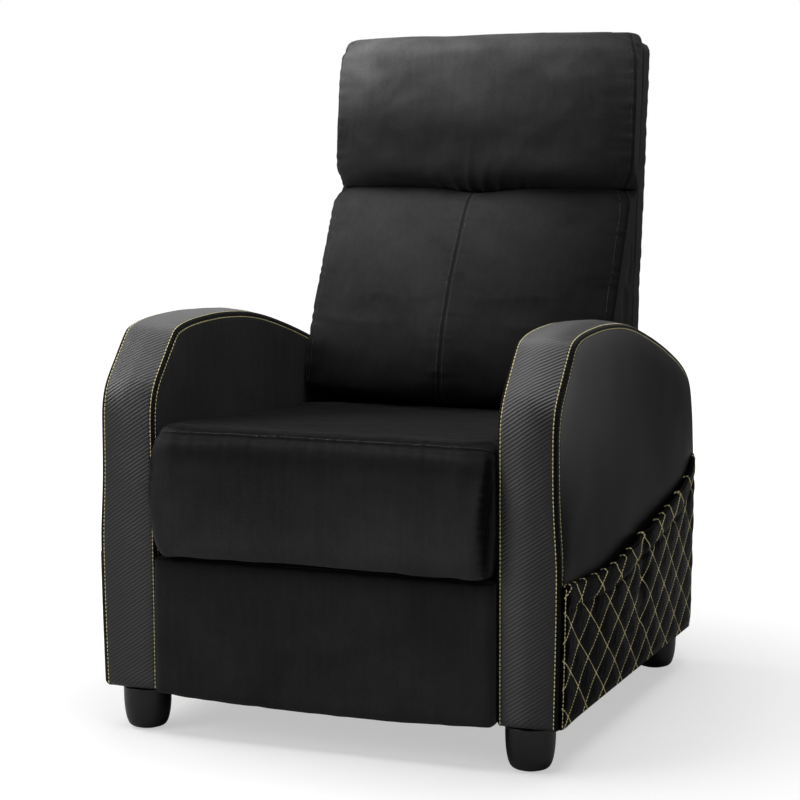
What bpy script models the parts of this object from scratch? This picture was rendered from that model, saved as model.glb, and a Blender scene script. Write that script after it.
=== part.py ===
"""Push-back reclining armchair with a linked footrest, modelled piece by piece.

The chair faces -Y, stands on z = 0 and is centred on x = 0. Side shapes are drawn in the
(y, z) plane and given their width along x, so most tables below hold (y, z) pairs.
"""

import math

import bmesh
import bpy
from mathutils import Vector

# Driving dimensions, in metres
OVERALL_WIDTH = 0.700
ARM_WIDTH = 0.080
ARM_DEPTH = 0.763
ARM_HEIGHT = 0.550
ARM_FRONT = -0.3625
FOOT_HEIGHT = 0.064
BACK_TOP = 1.040
BACK_LEAN = math.radians(5.8)
GAP = 0.0003
MERGE = 0.00001

# Arm outline as shares of its depth (front to rear) and height, from the front foot round the top
ARM_PATH_SHARES = [
    (0.0065, 0.0), (0.0033, 0.42), (0.0010, 0.60), (0.0, 0.7300), (0.0020, 0.7750),
    (0.0080, 0.8090), (0.0185, 0.8385), (0.0354, 0.8690), (0.0543, 0.8990), (0.0740, 0.9305),
    (0.0925, 0.9585), (0.1080, 0.9750), (0.1390, 0.9870), (0.1800, 0.9945), (0.2400, 0.9990),
    (0.3100, 1.0), (0.4096, 0.9920), (0.5000, 0.9735), (0.6000, 0.9415), (0.6980, 0.9045),
    (0.7800, 0.8685), (0.8552, 0.8305), (0.9100, 0.7920), (0.9480, 0.7410), (0.9740, 0.6610),
    (0.9869, 0.5685), (0.9965, 0.4600), (1.0, 0.3600), (0.9921, 0.0),
]
ARM_PATH_STEPS = 1

# Arm pieces
BAND_THICKNESS = 0.014
BOARD_THICKNESS = 0.012
INNER_PAD_EDGE = 0.0017
INNER_PAD_CROWN = 0.0020
OUTER_PAD_EDGE = 0.0030
OUTER_PAD_CROWN = 0.0030
PAD_SEAM_INSET = 0.0020
PAD_ROLL = 0.012
PAD_SWELL = 0.055
POST_DEPTH_FRONT = 0.058
POST_DEPTH_REAR = 0.055
POST_FRONT_BELOW_TOP = 0.128
POST_REAR_BELOW_TOP = 0.208
POST_REAR_INSET = 0.0355
POST_ROUND = 0.003

# Side pocket: its mouth as shares of the arm's depth and height
POCKET_MOUTH_SHARES = [
    (-0.05, 0.391), (0.0183, 0.384), (0.1200, 0.357), (0.2490, 0.347), (0.3800, 0.347),
    (0.5308, 0.356), (0.6500, 0.379), (0.7575, 0.413), (0.8600, 0.462), (0.9201, 0.520),
    (1.05, 0.548),
]
POCKET_WALL = 0.0035
POCKET_BULGE = 0.0150
POCKET_SEAM_INSET = 0.0030
POCKET_ALONG_SHARES = [0.0, 0.016, 0.10, 0.25, 0.42, 0.58, 0.74, 0.88, 0.984, 1.0]
POCKET_UP_SHARES = [0.0, 0.05, 0.22, 0.45, 0.70, 1.0]
POCKET_REAR_SHARE = 0.10

# Feet
FOOT_TOP_RADIUS = 0.036
FOOT_BOTTOM_RADIUS = 0.0215
FOOT_PROFILE_SHARES = [
    (1.0, 1.0), (1.0, 0.86), (0.955, 0.62), (0.87, 0.36), (0.78, 0.14), (0.70, 0.04),
]
FOOT_STUD_RADIUS = 0.005
FOOT_STUD_LENGTH = 0.026
FOOT_FRONT_INSET = 0.043
FOOT_REAR_INSET = 0.067
FOOT_INWARDS = 0.005
FOOT_SIDES = 20
STUD_CLEARANCE = 0.0006

# Steel mechanism: plate layers step inwards from the arm's inner face
PLATE = 0.0025
LAYER_SPACE = 0.0020
PIN_RADIUS = 0.0035
PIN_CLEARANCE = 0.0003
PIN_HEAD_RADIUS = 0.0065
PIN_HEAD = 0.0012
LOOSE_CLEARANCE = 0.0021
LOOSE_HEAD_RADIUS = 0.0080
PIN_SIDES = 12
LINK_RADIUS = 0.009
LINK_SIDES = 16
RAIL_LAYER, SWING_LAYER, SEAT_LAYER, CRANK_LAYER, COUPLER_LAYER, LEG_LAYER = range(6)

# Base rails and swing links: the seat rides on two equal pairs of swing links
SWING_LENGTH = 0.130
SWING_LEAN = math.radians(35.0)
SWING_RADIUS = 0.011
SWING_BASE_HEIGHT = 0.170
SWING_FRONT = -0.1346
SWING_REAR = 0.0754
RAIL_BELOW = 0.038
RAIL_ABOVE = 0.024
RAIL_AHEAD = 0.050
RAIL_REAR_INSET = 0.140
TUBE_RADIUS = 0.011
TUBE_WALL = 0.002
TUBE_DROP = 0.018
TUBE_PLACE = 0.000
TUBE_SIDES = 16
REAR_PANEL_INSET = 0.0275
REAR_PANEL_THICKNESS = 0.018
REAR_PANEL_BOTTOM = 0.072
REAR_PANEL_TOP = 0.322
REAR_PANEL_ROUND = 0.005

# Footrest linkage at rest: the y and z of each pivot
CRANK_AXIS_Y = -0.1545
CRANK_AXIS_Z = 0.2710
CRANK_TIP_Y = -0.0475
CRANK_TIP_Z = 0.1400
IDLER_AXIS_Y = -0.2010
IDLER_AXIS_Z = 0.2850
IDLER_CROSSING_Y = -0.0965
IDLER_CROSSING_Z = 0.1480
IDLER_TIP_Y = -0.0905
IDLER_TIP_Z = 0.1000
LEG_UPPER_Y = -0.3100
LEG_UPPER_Z = 0.2510
LEG_LOWER_Y = -0.3235
LEG_LOWER_Z = 0.1900
TORQUE_TUBE_RADIUS = 0.0100
TORQUE_TUBE_BORE = 0.0074

# Seat frame
SEAT_FRAME_BOTTOM = 0.300
SEAT_FRAME_TOP = 0.346
SEAT_FRAME_FRONT = -0.3173
SEAT_FRAME_REAR = 0.190
SEAT_RAIL_WIDTH = 0.040
SIDE_RAIL_WIDTH = 0.0357
RAIL_ROUND = 0.003
SEAT_PLATE_MARGIN = 0.0175
SEAT_PLATE_DROP = 0.003
SEAT_PLATE_FRONT = -0.225
BACK_HINGE_Y = 0.2350
BACK_HINGE_Z = 0.3400
HINGE_RADIUS = 0.014
SPRING_WIRE = 0.0018
SPRING_SWING = 0.022
SPRING_PITCH = 0.052
SPRING_SPACING = 0.115
SPRING_WAVE_POINTS = 6
SPRING_DROP = 0.0008

# Seat cushion
SEAT_SIDE_CLEARANCE = 0.0035
SEAT_TOP = 0.4725
SEAT_REAR = 0.150
SEAT_FRONT = -0.400
BOLSTER_BOTTOM = 0.2810
SEAT_CROWN = 0.010
SEAT_DRAW = 0.006
SEAT_WAIST = 0.0025
SEAT_TOP_SHARES = [
    (0.0, 0.42), (0.0, 0.70), (0.020, 0.80), (0.109, 0.83), (0.273, 0.90), (0.492, 0.965),
    (0.711, 1.0), (0.857, 0.995), (0.935, 0.975), (0.975, 0.90), (0.992, 0.68), (1.0, 0.30),
]
BOLSTER_SHARES = [(0.998, 0.80), (0.986, 0.28), (0.955, 0.03), (0.902, 0.0)]
SEAT_FLOOR_SHARES = [0.62, 0.31]

# Back frame: heights are measured along z, depths square to the leaning rear face
BACK_REAR = 0.3605
BACK_REAR_HEIGHT = 0.565
COVER_THICKNESS = 0.005
COVER_BOTTOM = 0.345
COVER_SIDE_CLEARANCE = 0.0040
COVER_TOP_CLEARANCE = 0.0020
COVER_CORNER = 0.020
COVER_CORNER_SHARES = [(0.0, 0.0), (0.62, 0.22), (1.0, 1.0)]
FRAME_DEPTH = 0.0415
BACK_POST_WIDTH = 0.040
BACK_POST_BOTTOM = 0.330
BACK_POST_TOP = 0.990
BACK_RAIL_HEIGHT = 0.040
BACK_BOTTOM_RAIL = 0.352
BRACKET_TOP = 0.440
BRACKET_LAP = 0.026
STRAP_HEIGHT = 0.055
STRAP_THICKNESS = 0.003
STRAP_LOWER = 0.530
STRAP_UPPER = 0.700
STRAP_DEPTH_SHARE = 0.15

# Lumbar cushion
LUMBAR_SIDE_CLEARANCE = 0.0070
LUMBAR_BOTTOM = 0.4540
LUMBAR_TOP = 0.7985
LUMBAR_THICKNESS = 0.194
LUMBAR_CROWN_SHARE = 0.30
LUMBAR_SHOULDER = 0.006
LUMBAR_WAIST = 0.004
LUMBAR_CHANNEL = 0.012
LUMBAR_FRONT_SHARES = [
    (0.0, 0.50), (0.0, 0.84), (0.03, 0.95), (0.15, 1.0), (0.28, 0.995), (0.40, 0.95),
    (0.53, 0.86), (0.65, 0.765), (0.78, 0.635), (0.89, 0.525), (0.97, 0.41), (1.0, 0.22),
]

# Head cushion
HEAD_SIDE_CLEARANCE = 0.0010
HEAD_BOTTOM = 0.7990
HEAD_TOP = 1.0500
HEAD_THICKNESS = 0.096
HEAD_CROWN_SHARE = 0.46
HEAD_SHOULDER = 0.020
HEAD_WAIST = 0.003
HEAD_FRONT_SHARES = [
    (0.0, 0.42), (0.0, 0.74), (0.06, 0.92), (0.18, 0.985), (0.33, 1.0), (0.52, 1.0),
    (0.72, 0.985), (0.87, 0.955), (0.96, 0.84), (1.0, 0.60), (1.0, 0.25),
]

# Footrest
LEG_BOARD_FRONT = -0.3440
LEG_BOARD_THICKNESS = 0.016
LEG_BOARD_BOTTOM = 0.078
LEG_BOARD_TOP = 0.255
LEG_PAD_FRONT = -0.3735
LEG_PAD_SIDE_CLEARANCE = 0.0035
LEG_PAD_BOTTOM = 0.066
LEG_PAD_TOP = 0.266
LEG_PAD_CROWN = 0.004
LEG_PAD_WAIST = 0.001
LEG_PAD_SHARES = [
    (0.0, 0.55), (0.015, 0.90), (0.10, 0.985), (0.30, 1.0), (0.70, 1.0), (0.90, 0.985),
    (0.985, 0.90), (1.0, 0.55),
]
BRACKET_FOOT = 0.018

# Stations across a cushion, as shares of its half width
CUSHION_STATION_SHARES = [0.985, 0.965, 0.85, 0.55, 0.20]
CHANNEL_STATION_SHARES = [0.985, 0.955, 0.82, 0.48, 0.09, 0.0]
CAP_SHARE = 0.62
END_DRAW_SHARES = {0: 1.0, 1: 0.32}
CROWN_POWER = 2.6
END_ROUND = 0.006

# Looks: base colour, roughness, metallic
VELVET = ((0.010, 0.010, 0.011), 0.80, 0.0)
RIBBED_COVER = ((0.030, 0.031, 0.033), 0.45, 0.0)
SMOOTH_COVER = ((0.016, 0.016, 0.017), 0.40, 0.0)
QUILTED_COVER = ((0.008, 0.008, 0.009), 0.25, 0.0)
BLACK_PLASTIC = ((0.008, 0.008, 0.008), 0.35, 0.0)
PLYWOOD = ((0.520, 0.360, 0.210), 0.70, 0.0)
BLACK_STEEL = ((0.030, 0.030, 0.032), 0.35, 1.0)
SPRING_STEEL = ((0.300, 0.300, 0.310), 0.30, 1.0)
WEBBING = ((0.110, 0.100, 0.090), 0.85, 0.0)

ARM_INNER = OVERALL_WIDTH / 2 - ARM_WIDTH
ARM_OUTER = OVERALL_WIDTH / 2
INNER_FACE = ARM_INNER - GAP - INNER_PAD_EDGE - INNER_PAD_CROWN
ARM_BASE = FOOT_HEIGHT + GAP
ARM_REAR = ARM_FRONT + ARM_DEPTH
FOOT_FRONT = ARM_FRONT + FOOT_FRONT_INSET
FOOT_REAR = ARM_REAR - FOOT_REAR_INSET
FOOT_CENTRE = (ARM_INNER + ARM_OUTER) / 2 - FOOT_INWARDS
SEAT_HALF_WIDTH = INNER_FACE - SEAT_SIDE_CLEARANCE
LEG_PAD_HALF_WIDTH = INNER_FACE - LEG_PAD_SIDE_CLEARANCE
COVER_HALF_WIDTH = INNER_FACE - COVER_SIDE_CLEARANCE
COVER_TOP_HALF_WIDTH = INNER_FACE - COVER_TOP_CLEARANCE
LUMBAR_HALF_WIDTH = INNER_FACE - LUMBAR_SIDE_CLEARANCE
HEAD_HALF_WIDTH = INNER_FACE - HEAD_SIDE_CLEARANCE

CRANK_AXIS = (CRANK_AXIS_Y, CRANK_AXIS_Z)
CRANK_TIP = (CRANK_TIP_Y, CRANK_TIP_Z)
IDLER_AXIS = (IDLER_AXIS_Y, IDLER_AXIS_Z)
IDLER_CROSSING = (IDLER_CROSSING_Y, IDLER_CROSSING_Z)
IDLER_TIP = (IDLER_TIP_Y, IDLER_TIP_Z)
LEG_UPPER = (LEG_UPPER_Y, LEG_UPPER_Z)
LEG_LOWER = (LEG_LOWER_Y, LEG_LOWER_Z)
BACK_HINGE = (BACK_HINGE_Y, BACK_HINGE_Z)
SPRING_PLACES = (-SPRING_SPACING, 0.0, SPRING_SPACING)
STRAP_PLACES = (STRAP_LOWER, STRAP_UPPER)


def clear_scene():
    """Remove every object, so the script can be run again."""
    for obj in list(bpy.data.objects):
        bpy.data.objects.remove(obj, do_unlink=True)


def make_collection(name):
    """Make a collection in the scene."""
    group = bpy.data.collections.new(name)
    bpy.context.scene.collection.children.link(group)
    return group


def give_finish(obj, look):
    """Give a piece its own Principled material."""
    colour, roughness, metallic = look
    finish = bpy.data.materials.new(obj.name + "_finish")
    finish.use_nodes = True
    shader = finish.node_tree.nodes["Principled BSDF"]
    shader.inputs["Base Color"].default_value = (*colour, 1.0)
    shader.inputs["Roughness"].default_value = roughness
    shader.inputs["Metallic"].default_value = metallic
    finish.diffuse_color = (*colour, 1.0)
    obj.data.materials.clear()
    obj.data.materials.append(finish)


def mesh_object(name, work):
    """Turn a bmesh into an object among the chair's pieces."""
    mesh = bpy.data.meshes.new(name)
    work.to_mesh(mesh)
    work.free()
    obj = bpy.data.objects.new(name, mesh)
    CHAIR.objects.link(obj)
    return obj


def replace_mesh(obj):
    """Replace a piece's mesh by what its modifiers make of it."""
    bpy.context.view_layer.update()
    graph = bpy.context.evaluated_depsgraph_get()
    mesh = bpy.data.meshes.new_from_object(obj.evaluated_get(graph))
    obj.modifiers.clear()
    obj.data = mesh


def combine(obj, tools, operation):
    """Join tools to a piece or cut them out of it, then remove the tools."""
    for tool in tools:
        step = obj.modifiers.new(tool.name, "BOOLEAN")
        step.operation = operation
        step.solver = "EXACT"
        step.object = tool
    replace_mesh(obj)
    for tool in tools:
        bpy.data.objects.remove(tool, do_unlink=True)
    return obj


def round_edges(obj, width, segments=1):
    """Round a piece's edges."""
    bevel = obj.modifiers.new("rounded", "BEVEL")
    bevel.width = width
    bevel.segments = segments
    bevel.limit_method = "ANGLE"


def box(name, x_span, y_span, z_span):
    """Make a box between two values on each axis."""
    work = bmesh.new()
    bmesh.ops.create_cube(work, size=1.0)
    spans = (x_span, y_span, z_span)
    size = Vector([high - low for low, high in spans])
    bmesh.ops.scale(work, vec=size, verts=work.verts)
    obj = mesh_object(name, work)
    obj.location = [(low + high) / 2 for low, high in spans]
    return obj


def rod(name, x_from, x_to, place, radius, sides=PIN_SIDES):
    """Make a round bar along x at a (y, z) place."""
    work = bmesh.new()
    bmesh.ops.create_cone(
        work, cap_ends=True, segments=sides, radius1=radius, radius2=radius,
        depth=abs(x_to - x_from),
    )
    obj = mesh_object(name, work)
    obj.location = ((x_from + x_to) / 2, place[0], place[1])
    obj.rotation_euler = (0.0, math.pi / 2, 0.0)
    return obj


def circle_points(centre, radius, sides=PIN_SIDES):
    """Points of a circle in the (y, z) plane."""
    turns = [2 * math.pi * index / sides for index in range(sides)]
    return [(centre[0] + radius * math.cos(t), centre[1] + radius * math.sin(t)) for t in turns]


def side_plate(name, outline, x_middle, width, holes=()):
    """Make a flat piece with its outline in the (y, z) plane and its width along x."""
    curve = bpy.data.curves.new(name, "CURVE")
    curve.dimensions = "2D"
    curve.fill_mode = "BOTH"
    curve.extrude = width / 2
    for loop in [outline, *holes]:
        spline = curve.splines.new("POLY")
        spline.points.add(len(loop) - 1)
        spline.use_cyclic_u = True
        for point, (y, z) in zip(spline.points, loop):
            point.co = (y, z, 0.0, 1.0)
    flat = bpy.data.objects.new(name + "_outline", curve)
    CHAIR.objects.link(flat)
    flat.location = (x_middle, 0.0, 0.0)
    flat.rotation_euler = (math.pi / 2, 0.0, math.pi / 2)
    bpy.context.view_layer.update()
    graph = bpy.context.evaluated_depsgraph_get()
    mesh = bpy.data.meshes.new_from_object(flat.evaluated_get(graph))
    work = bmesh.new()
    work.from_mesh(mesh)
    bmesh.ops.remove_doubles(work, verts=work.verts, dist=MERGE)
    work.to_mesh(mesh)
    work.free()
    obj = bpy.data.objects.new(name, mesh)
    obj.location = flat.location
    obj.rotation_euler = flat.rotation_euler
    CHAIR.objects.link(obj)
    bpy.data.objects.remove(flat, do_unlink=True)
    return obj


def hull(points):
    """Convex outline round a set of (y, z) points."""
    ordered = sorted(set(points))

    def half(row):
        chain = []
        for point in row:
            while len(chain) > 1:
                (ay, az), (by, bz) = chain[-2], chain[-1]
                turn = (by - ay) * (point[1] - az) - (bz - az) * (point[0] - ay)
                if turn > 0:
                    break
                chain.pop()
            chain.append(point)
        return chain[:-1]

    return half(ordered) + half(ordered[::-1])


def strap(places, radius):
    """Outline of a flat link that rounds each of its pivots."""
    rounds = [point for place in places for point in circle_points(place, radius, LINK_SIDES)]
    return hull(rounds)


def smooth_path(points, steps):
    """Points on a smooth curve through the given ones, each span cut into steps."""
    path = []
    last = len(points) - 1
    for index in range(last):
        before, start = points[max(index - 1, 0)], points[index]
        end, after = points[index + 1], points[min(index + 2, last)]
        for step in range(steps):
            t = step / steps
            path.append(tuple(
                0.5 * (2 * b + (c - a) * t + (2 * a - 5 * b + 4 * c - d) * t ** 2
                       + (3 * b - a - 3 * c + d) * t ** 3)
                for a, b, c, d in zip(before, start, end, after)
            ))
    return path + [points[-1]]


def arm_place(shares):
    """A (y, z) place from shares of the arm's depth and height."""
    return (ARM_FRONT + shares[0] * ARM_DEPTH, ARM_BASE + shares[1] * ARM_HEIGHT)


def arm_path(inset):
    """The arm's outline from the front foot over the top to the rear foot, moved inwards."""
    outer = smooth_path([arm_place(shares) for shares in ARM_PATH_SHARES], ARM_PATH_STEPS)
    moved = []
    last = len(outer) - 1
    for index, (y, z) in enumerate(outer):
        before, after = outer[max(index - 1, 0)], outer[min(index + 1, last)]
        along = Vector((after[0] - before[0], after[1] - before[1])).normalized()
        moved.append((y + along.y * inset, z - along.x * inset))
    moved[0] = (moved[0][0], ARM_BASE)
    moved[-1] = (moved[-1][0], ARM_BASE)
    return moved


def layer_middle(layer):
    """Distance of a plate layer's middle from the chair's centre plane."""
    return INNER_FACE - GAP - layer * (PLATE + LAYER_SPACE) - PLATE / 2


def pin(side, place, layer_from, layer_to, head_radius=PIN_HEAD_RADIUS):
    """A pin on one plate that passes through the plate of another layer, with its head."""
    inwards = 1 if layer_to > layer_from else -1
    start = layer_middle(layer_from)
    far = layer_middle(layer_to) - inwards * (PLATE / 2 + GAP)
    end = far - inwards * PIN_HEAD
    shank = rod("shank", side * start, side * (far - inwards * PIN_HEAD / 2), place, PIN_RADIUS)
    head = rod("head", side * far, side * end, place, head_radius)
    return [shank, head]


def link(name, side, layer, places, holes=(), loose_holes=(), pins=(), radius=LINK_RADIUS):
    """A flat link: round holes, wide holes at open pivots, and pins to the next layers."""
    cuts = [circle_points(place, PIN_RADIUS + PIN_CLEARANCE) for place in holes]
    cuts += [circle_points(place, PIN_RADIUS + LOOSE_CLEARANCE) for place in loose_holes]
    plate = side_plate(name, strap(places, radius), side * layer_middle(layer), PLATE, cuts)
    tools = [tool for entry in pins for tool in pin(side, *entry)]
    if tools:
        combine(plate, tools, "UNION")
    give_finish(plate, BLACK_STEEL)
    return plate


def back_plane(height, depth):
    """The y value at a height, that far in front of the back's rear face."""
    return BACK_REAR + (height - BACK_REAR_HEIGHT) * math.tan(BACK_LEAN) - depth


def crowned_panel(name, outline, x_base, direction, edge, crown):
    """A padded panel: its rim stands up from the base and its face swells in two steps."""
    work = bmesh.new()
    verts = [work.verts.new((x_base, y, z)) for y, z in outline]
    base = work.faces.new(verts)
    grown = bmesh.ops.extrude_face_region(work, geom=[base])
    raised = [item for item in grown["geom"] if isinstance(item, bmesh.types.BMVert)]
    bmesh.ops.translate(work, verts=raised, vec=(direction * edge, 0.0, 0.0))
    bmesh.ops.recalc_face_normals(work, faces=work.faces)
    work.faces.ensure_lookup_table()
    front = max(work.faces, key=lambda face: direction * face.calc_center_median().x)
    bmesh.ops.inset_region(work, faces=[front], thickness=PAD_ROLL, depth=crown * 2 / 3)
    bmesh.ops.inset_region(work, faces=[front], thickness=PAD_SWELL, depth=crown / 3)
    return mesh_object(name, work)


def cushion(name, rings, hard_rows):
    """A soft closed form through rings of points, with closed ends and smoothed faces."""
    work = bmesh.new()
    rows = [[work.verts.new(point) for point in ring] for ring in rings]
    count = len(rows[0])
    for near, far in zip(rows, rows[1:]):
        for index in range(count):
            following = (index + 1) % count
            work.faces.new((near[index], near[following], far[following], far[index]))
    for row in (rows[0], rows[-1]):
        centre = sum((vert.co for vert in row), Vector()) / count
        inner = [work.verts.new(centre + (vert.co - centre) * CAP_SHARE) for vert in row]
        for index in range(count):
            following = (index + 1) % count
            work.faces.new((row[index], row[following], inner[following], inner[index]))
        work.faces.new(inner)
    bmesh.ops.recalc_face_normals(work, faces=work.faces)
    crease = work.edges.layers.float.new("crease_edge")
    for near, far in zip(rows, rows[1:]):
        for index in hard_rows:
            work.edges.get((near[index], far[index]))[crease] = 1.0
    obj = mesh_object(name, work)
    smooth = obj.modifiers.new("smooth", "SUBSURF")
    smooth.levels = 1
    smooth.render_levels = 1
    return obj


def stations(half_width, shares):
    """Signed x values across a cushion with its ring number from the end, end to end."""
    side = [(half_width, 0)] + [(half_width * share, n + 1) for n, share in enumerate(shares)]
    middle = side[-1][0] == 0.0
    mirrored = side[:-1] if middle else side
    return [(-x, n) for x, n in side] + [(x, n) for x, n in reversed(mirrored)]


def build_feet():
    """Four turned feet, each with a stud that goes up into the arm's post."""
    feet = []
    for side, side_name in ((1, "left"), (-1, "right")):
        for place, end_name in ((FOOT_FRONT, "front"), (FOOT_REAR, "rear")):
            name = f"foot_{end_name}_{side_name}"
            profile = [(0.0, FOOT_HEIGHT + FOOT_STUD_LENGTH)]
            profile.append((FOOT_STUD_RADIUS, FOOT_HEIGHT + FOOT_STUD_LENGTH))
            profile.append((FOOT_STUD_RADIUS, FOOT_HEIGHT))
            profile += [(FOOT_TOP_RADIUS * r, FOOT_HEIGHT * z) for r, z in FOOT_PROFILE_SHARES]
            profile += [(FOOT_BOTTOM_RADIUS, 0.0), (0.0, 0.0)]
            work = bmesh.new()
            verts = [work.verts.new((r, 0.0, z)) for r, z in profile]
            for start, end in zip(verts, verts[1:]):
                work.edges.new((start, end))
            foot = mesh_object(name, work)
            foot.location = (side * FOOT_CENTRE, place, 0.0)
            turn = foot.modifiers.new("turned", "SCREW")
            turn.steps = FOOT_SIDES
            turn.render_steps = FOOT_SIDES
            turn.use_merge_vertices = True
            turn.merge_threshold = MERGE
            give_finish(foot, BLACK_PLASTIC)
            feet.append(foot)
    return feet


def arm_post(name, side, y_span, height, foot_place):
    """An upright block between the arm's boards, bored for the foot's stud."""
    inner = ARM_INNER + BOARD_THICKNESS + 2 * GAP
    outer = ARM_OUTER - BOARD_THICKNESS - 2 * GAP
    x_span = sorted((side * inner, side * outer))
    post = box(name, x_span, y_span, (ARM_BASE, ARM_BASE + height))
    round_edges(post, POST_ROUND)
    replace_mesh(post)
    work = bmesh.new()
    bore_length = FOOT_STUD_LENGTH + BAND_THICKNESS
    bmesh.ops.create_cone(
        work, cap_ends=True, segments=PIN_SIDES, radius1=FOOT_STUD_RADIUS + STUD_CLEARANCE,
        radius2=FOOT_STUD_RADIUS + STUD_CLEARANCE, depth=2 * bore_length,
    )
    bore = mesh_object("bore", work)
    bore.location = (side * FOOT_CENTRE, foot_place, FOOT_HEIGHT)
    combine(post, [bore], "DIFFERENCE")
    give_finish(post, PLYWOOD)
    return post


def pocket_place(along, up):
    """A (y, z) place on the pocket from shares of its length and of its height there."""
    mouth = [arm_place(shares) for shares in POCKET_MOUTH_SHARES]
    edge = arm_path(POCKET_SEAM_INSET)
    half = len(edge) // 2
    low = ARM_BASE + POCKET_SEAM_INSET

    def along_curve(points, key, value, result):
        ordered = sorted(points, key=lambda point: point[key])
        for start, end in zip(ordered, ordered[1:]):
            if start[key] <= value <= end[key]:
                share = (value - start[key]) / max(end[key] - start[key], MERGE)
                return start[result] + share * (end[result] - start[result])
        return ordered[-1][result] if value > ordered[-1][key] else ordered[0][result]

    y = edge[0][0] + along * (edge[-1][0] - edge[0][0])
    for _ in range(3):
        z = low + up * (along_curve(mouth, 0, y, 1) - low)
        front = along_curve(edge[:half], 1, z, 0)
        rear = along_curve(edge[half:], 1, z, 0)
        y = front + along * (rear - front)
    return y, z


def build_pocket(name, side):
    """The side pocket: a sheet sewn down round its rim that bulges at its open mouth."""
    rim_x = ARM_OUTER + 2 * GAP + OUTER_PAD_EDGE
    work = bmesh.new()
    grid = []
    for up in POCKET_UP_SHARES:
        row = []
        for along in POCKET_ALONG_SHARES:
            y, z = pocket_place(along, up)
            from_rim = min(y - ARM_FRONT, ARM_REAR - y, z - ARM_BASE)
            pad = OUTER_PAD_CROWN * min(2 * from_rim / PAD_ROLL, 1.0)
            swell = (math.sin(math.pi * along) * (1 - POCKET_REAR_SHARE)
                     + POCKET_REAR_SHARE * math.sin(math.pi / 2 * along))
            bulge = POCKET_BULGE * swell * math.sin(math.pi / 2 * up)
            row.append(work.verts.new((side * (rim_x + pad + bulge), y, z)))
        grid.append(row)
    for low, high in zip(grid, grid[1:]):
        for index in range(len(low) - 1):
            work.faces.new((low[index], low[index + 1], high[index + 1], high[index]))
    bmesh.ops.recalc_face_normals(work, faces=work.faces)
    pocket = mesh_object(name, work)
    if pocket.data.polygons[0].normal.x * side < 0:
        pocket.data.flip_normals()
    shell = pocket.modifiers.new("sheet", "SOLIDIFY")
    shell.thickness = POCKET_WALL
    shell.offset = 1.0
    give_finish(pocket, QUILTED_COVER)


def build_arm(side, side_name):
    """One arm: two boards, two posts, the band over them, both padded panels and the pocket."""
    inside = arm_path(BAND_THICKNESS + GAP)
    for place, board_name in ((ARM_INNER + BOARD_THICKNESS / 2, "inner"),
                              (ARM_OUTER - BOARD_THICKNESS / 2, "outer")):
        board = side_plate(f"arm_{board_name}_board_{side_name}", inside, side * place,
                           BOARD_THICKNESS)
        give_finish(board, PLYWOOD)
    front = ARM_FRONT + ARM_PATH_SHARES[0][0] * ARM_DEPTH + BAND_THICKNESS + 2 * GAP
    arm_post(f"arm_front_post_{side_name}", side, (front, front + POST_DEPTH_FRONT),
             ARM_HEIGHT - POST_FRONT_BELOW_TOP, FOOT_FRONT)
    rear = ARM_REAR - POST_REAR_INSET
    arm_post(f"arm_rear_post_{side_name}", side, (rear - POST_DEPTH_REAR, rear),
             ARM_HEIGHT - POST_REAR_BELOW_TOP, FOOT_REAR)
    loop = arm_path(0.0) + arm_path(BAND_THICKNESS)[::-1]
    band = side_plate(f"arm_band_{side_name}", loop, side * (ARM_INNER + ARM_OUTER) / 2, ARM_WIDTH)
    give_finish(band, RIBBED_COVER)
    panel = arm_path(PAD_SEAM_INSET)
    inner = crowned_panel(f"arm_inner_pad_{side_name}", panel, side * (ARM_INNER - GAP), -side,
                          INNER_PAD_EDGE, INNER_PAD_CROWN)
    give_finish(inner, VELVET)
    outer = crowned_panel(f"arm_outer_pad_{side_name}", panel, side * (ARM_OUTER + GAP), side,
                          OUTER_PAD_EDGE, OUTER_PAD_CROWN)
    give_finish(outer, SMOOTH_COVER)
    build_pocket(f"arm_pocket_{side_name}", side)


def swing_top(place):
    """Where a swing link carries the seat at rest, from its pivot on the base."""
    return (place + SWING_LENGTH * math.sin(SWING_LEAN),
            SWING_BASE_HEIGHT + SWING_LENGTH * math.cos(SWING_LEAN))


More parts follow.
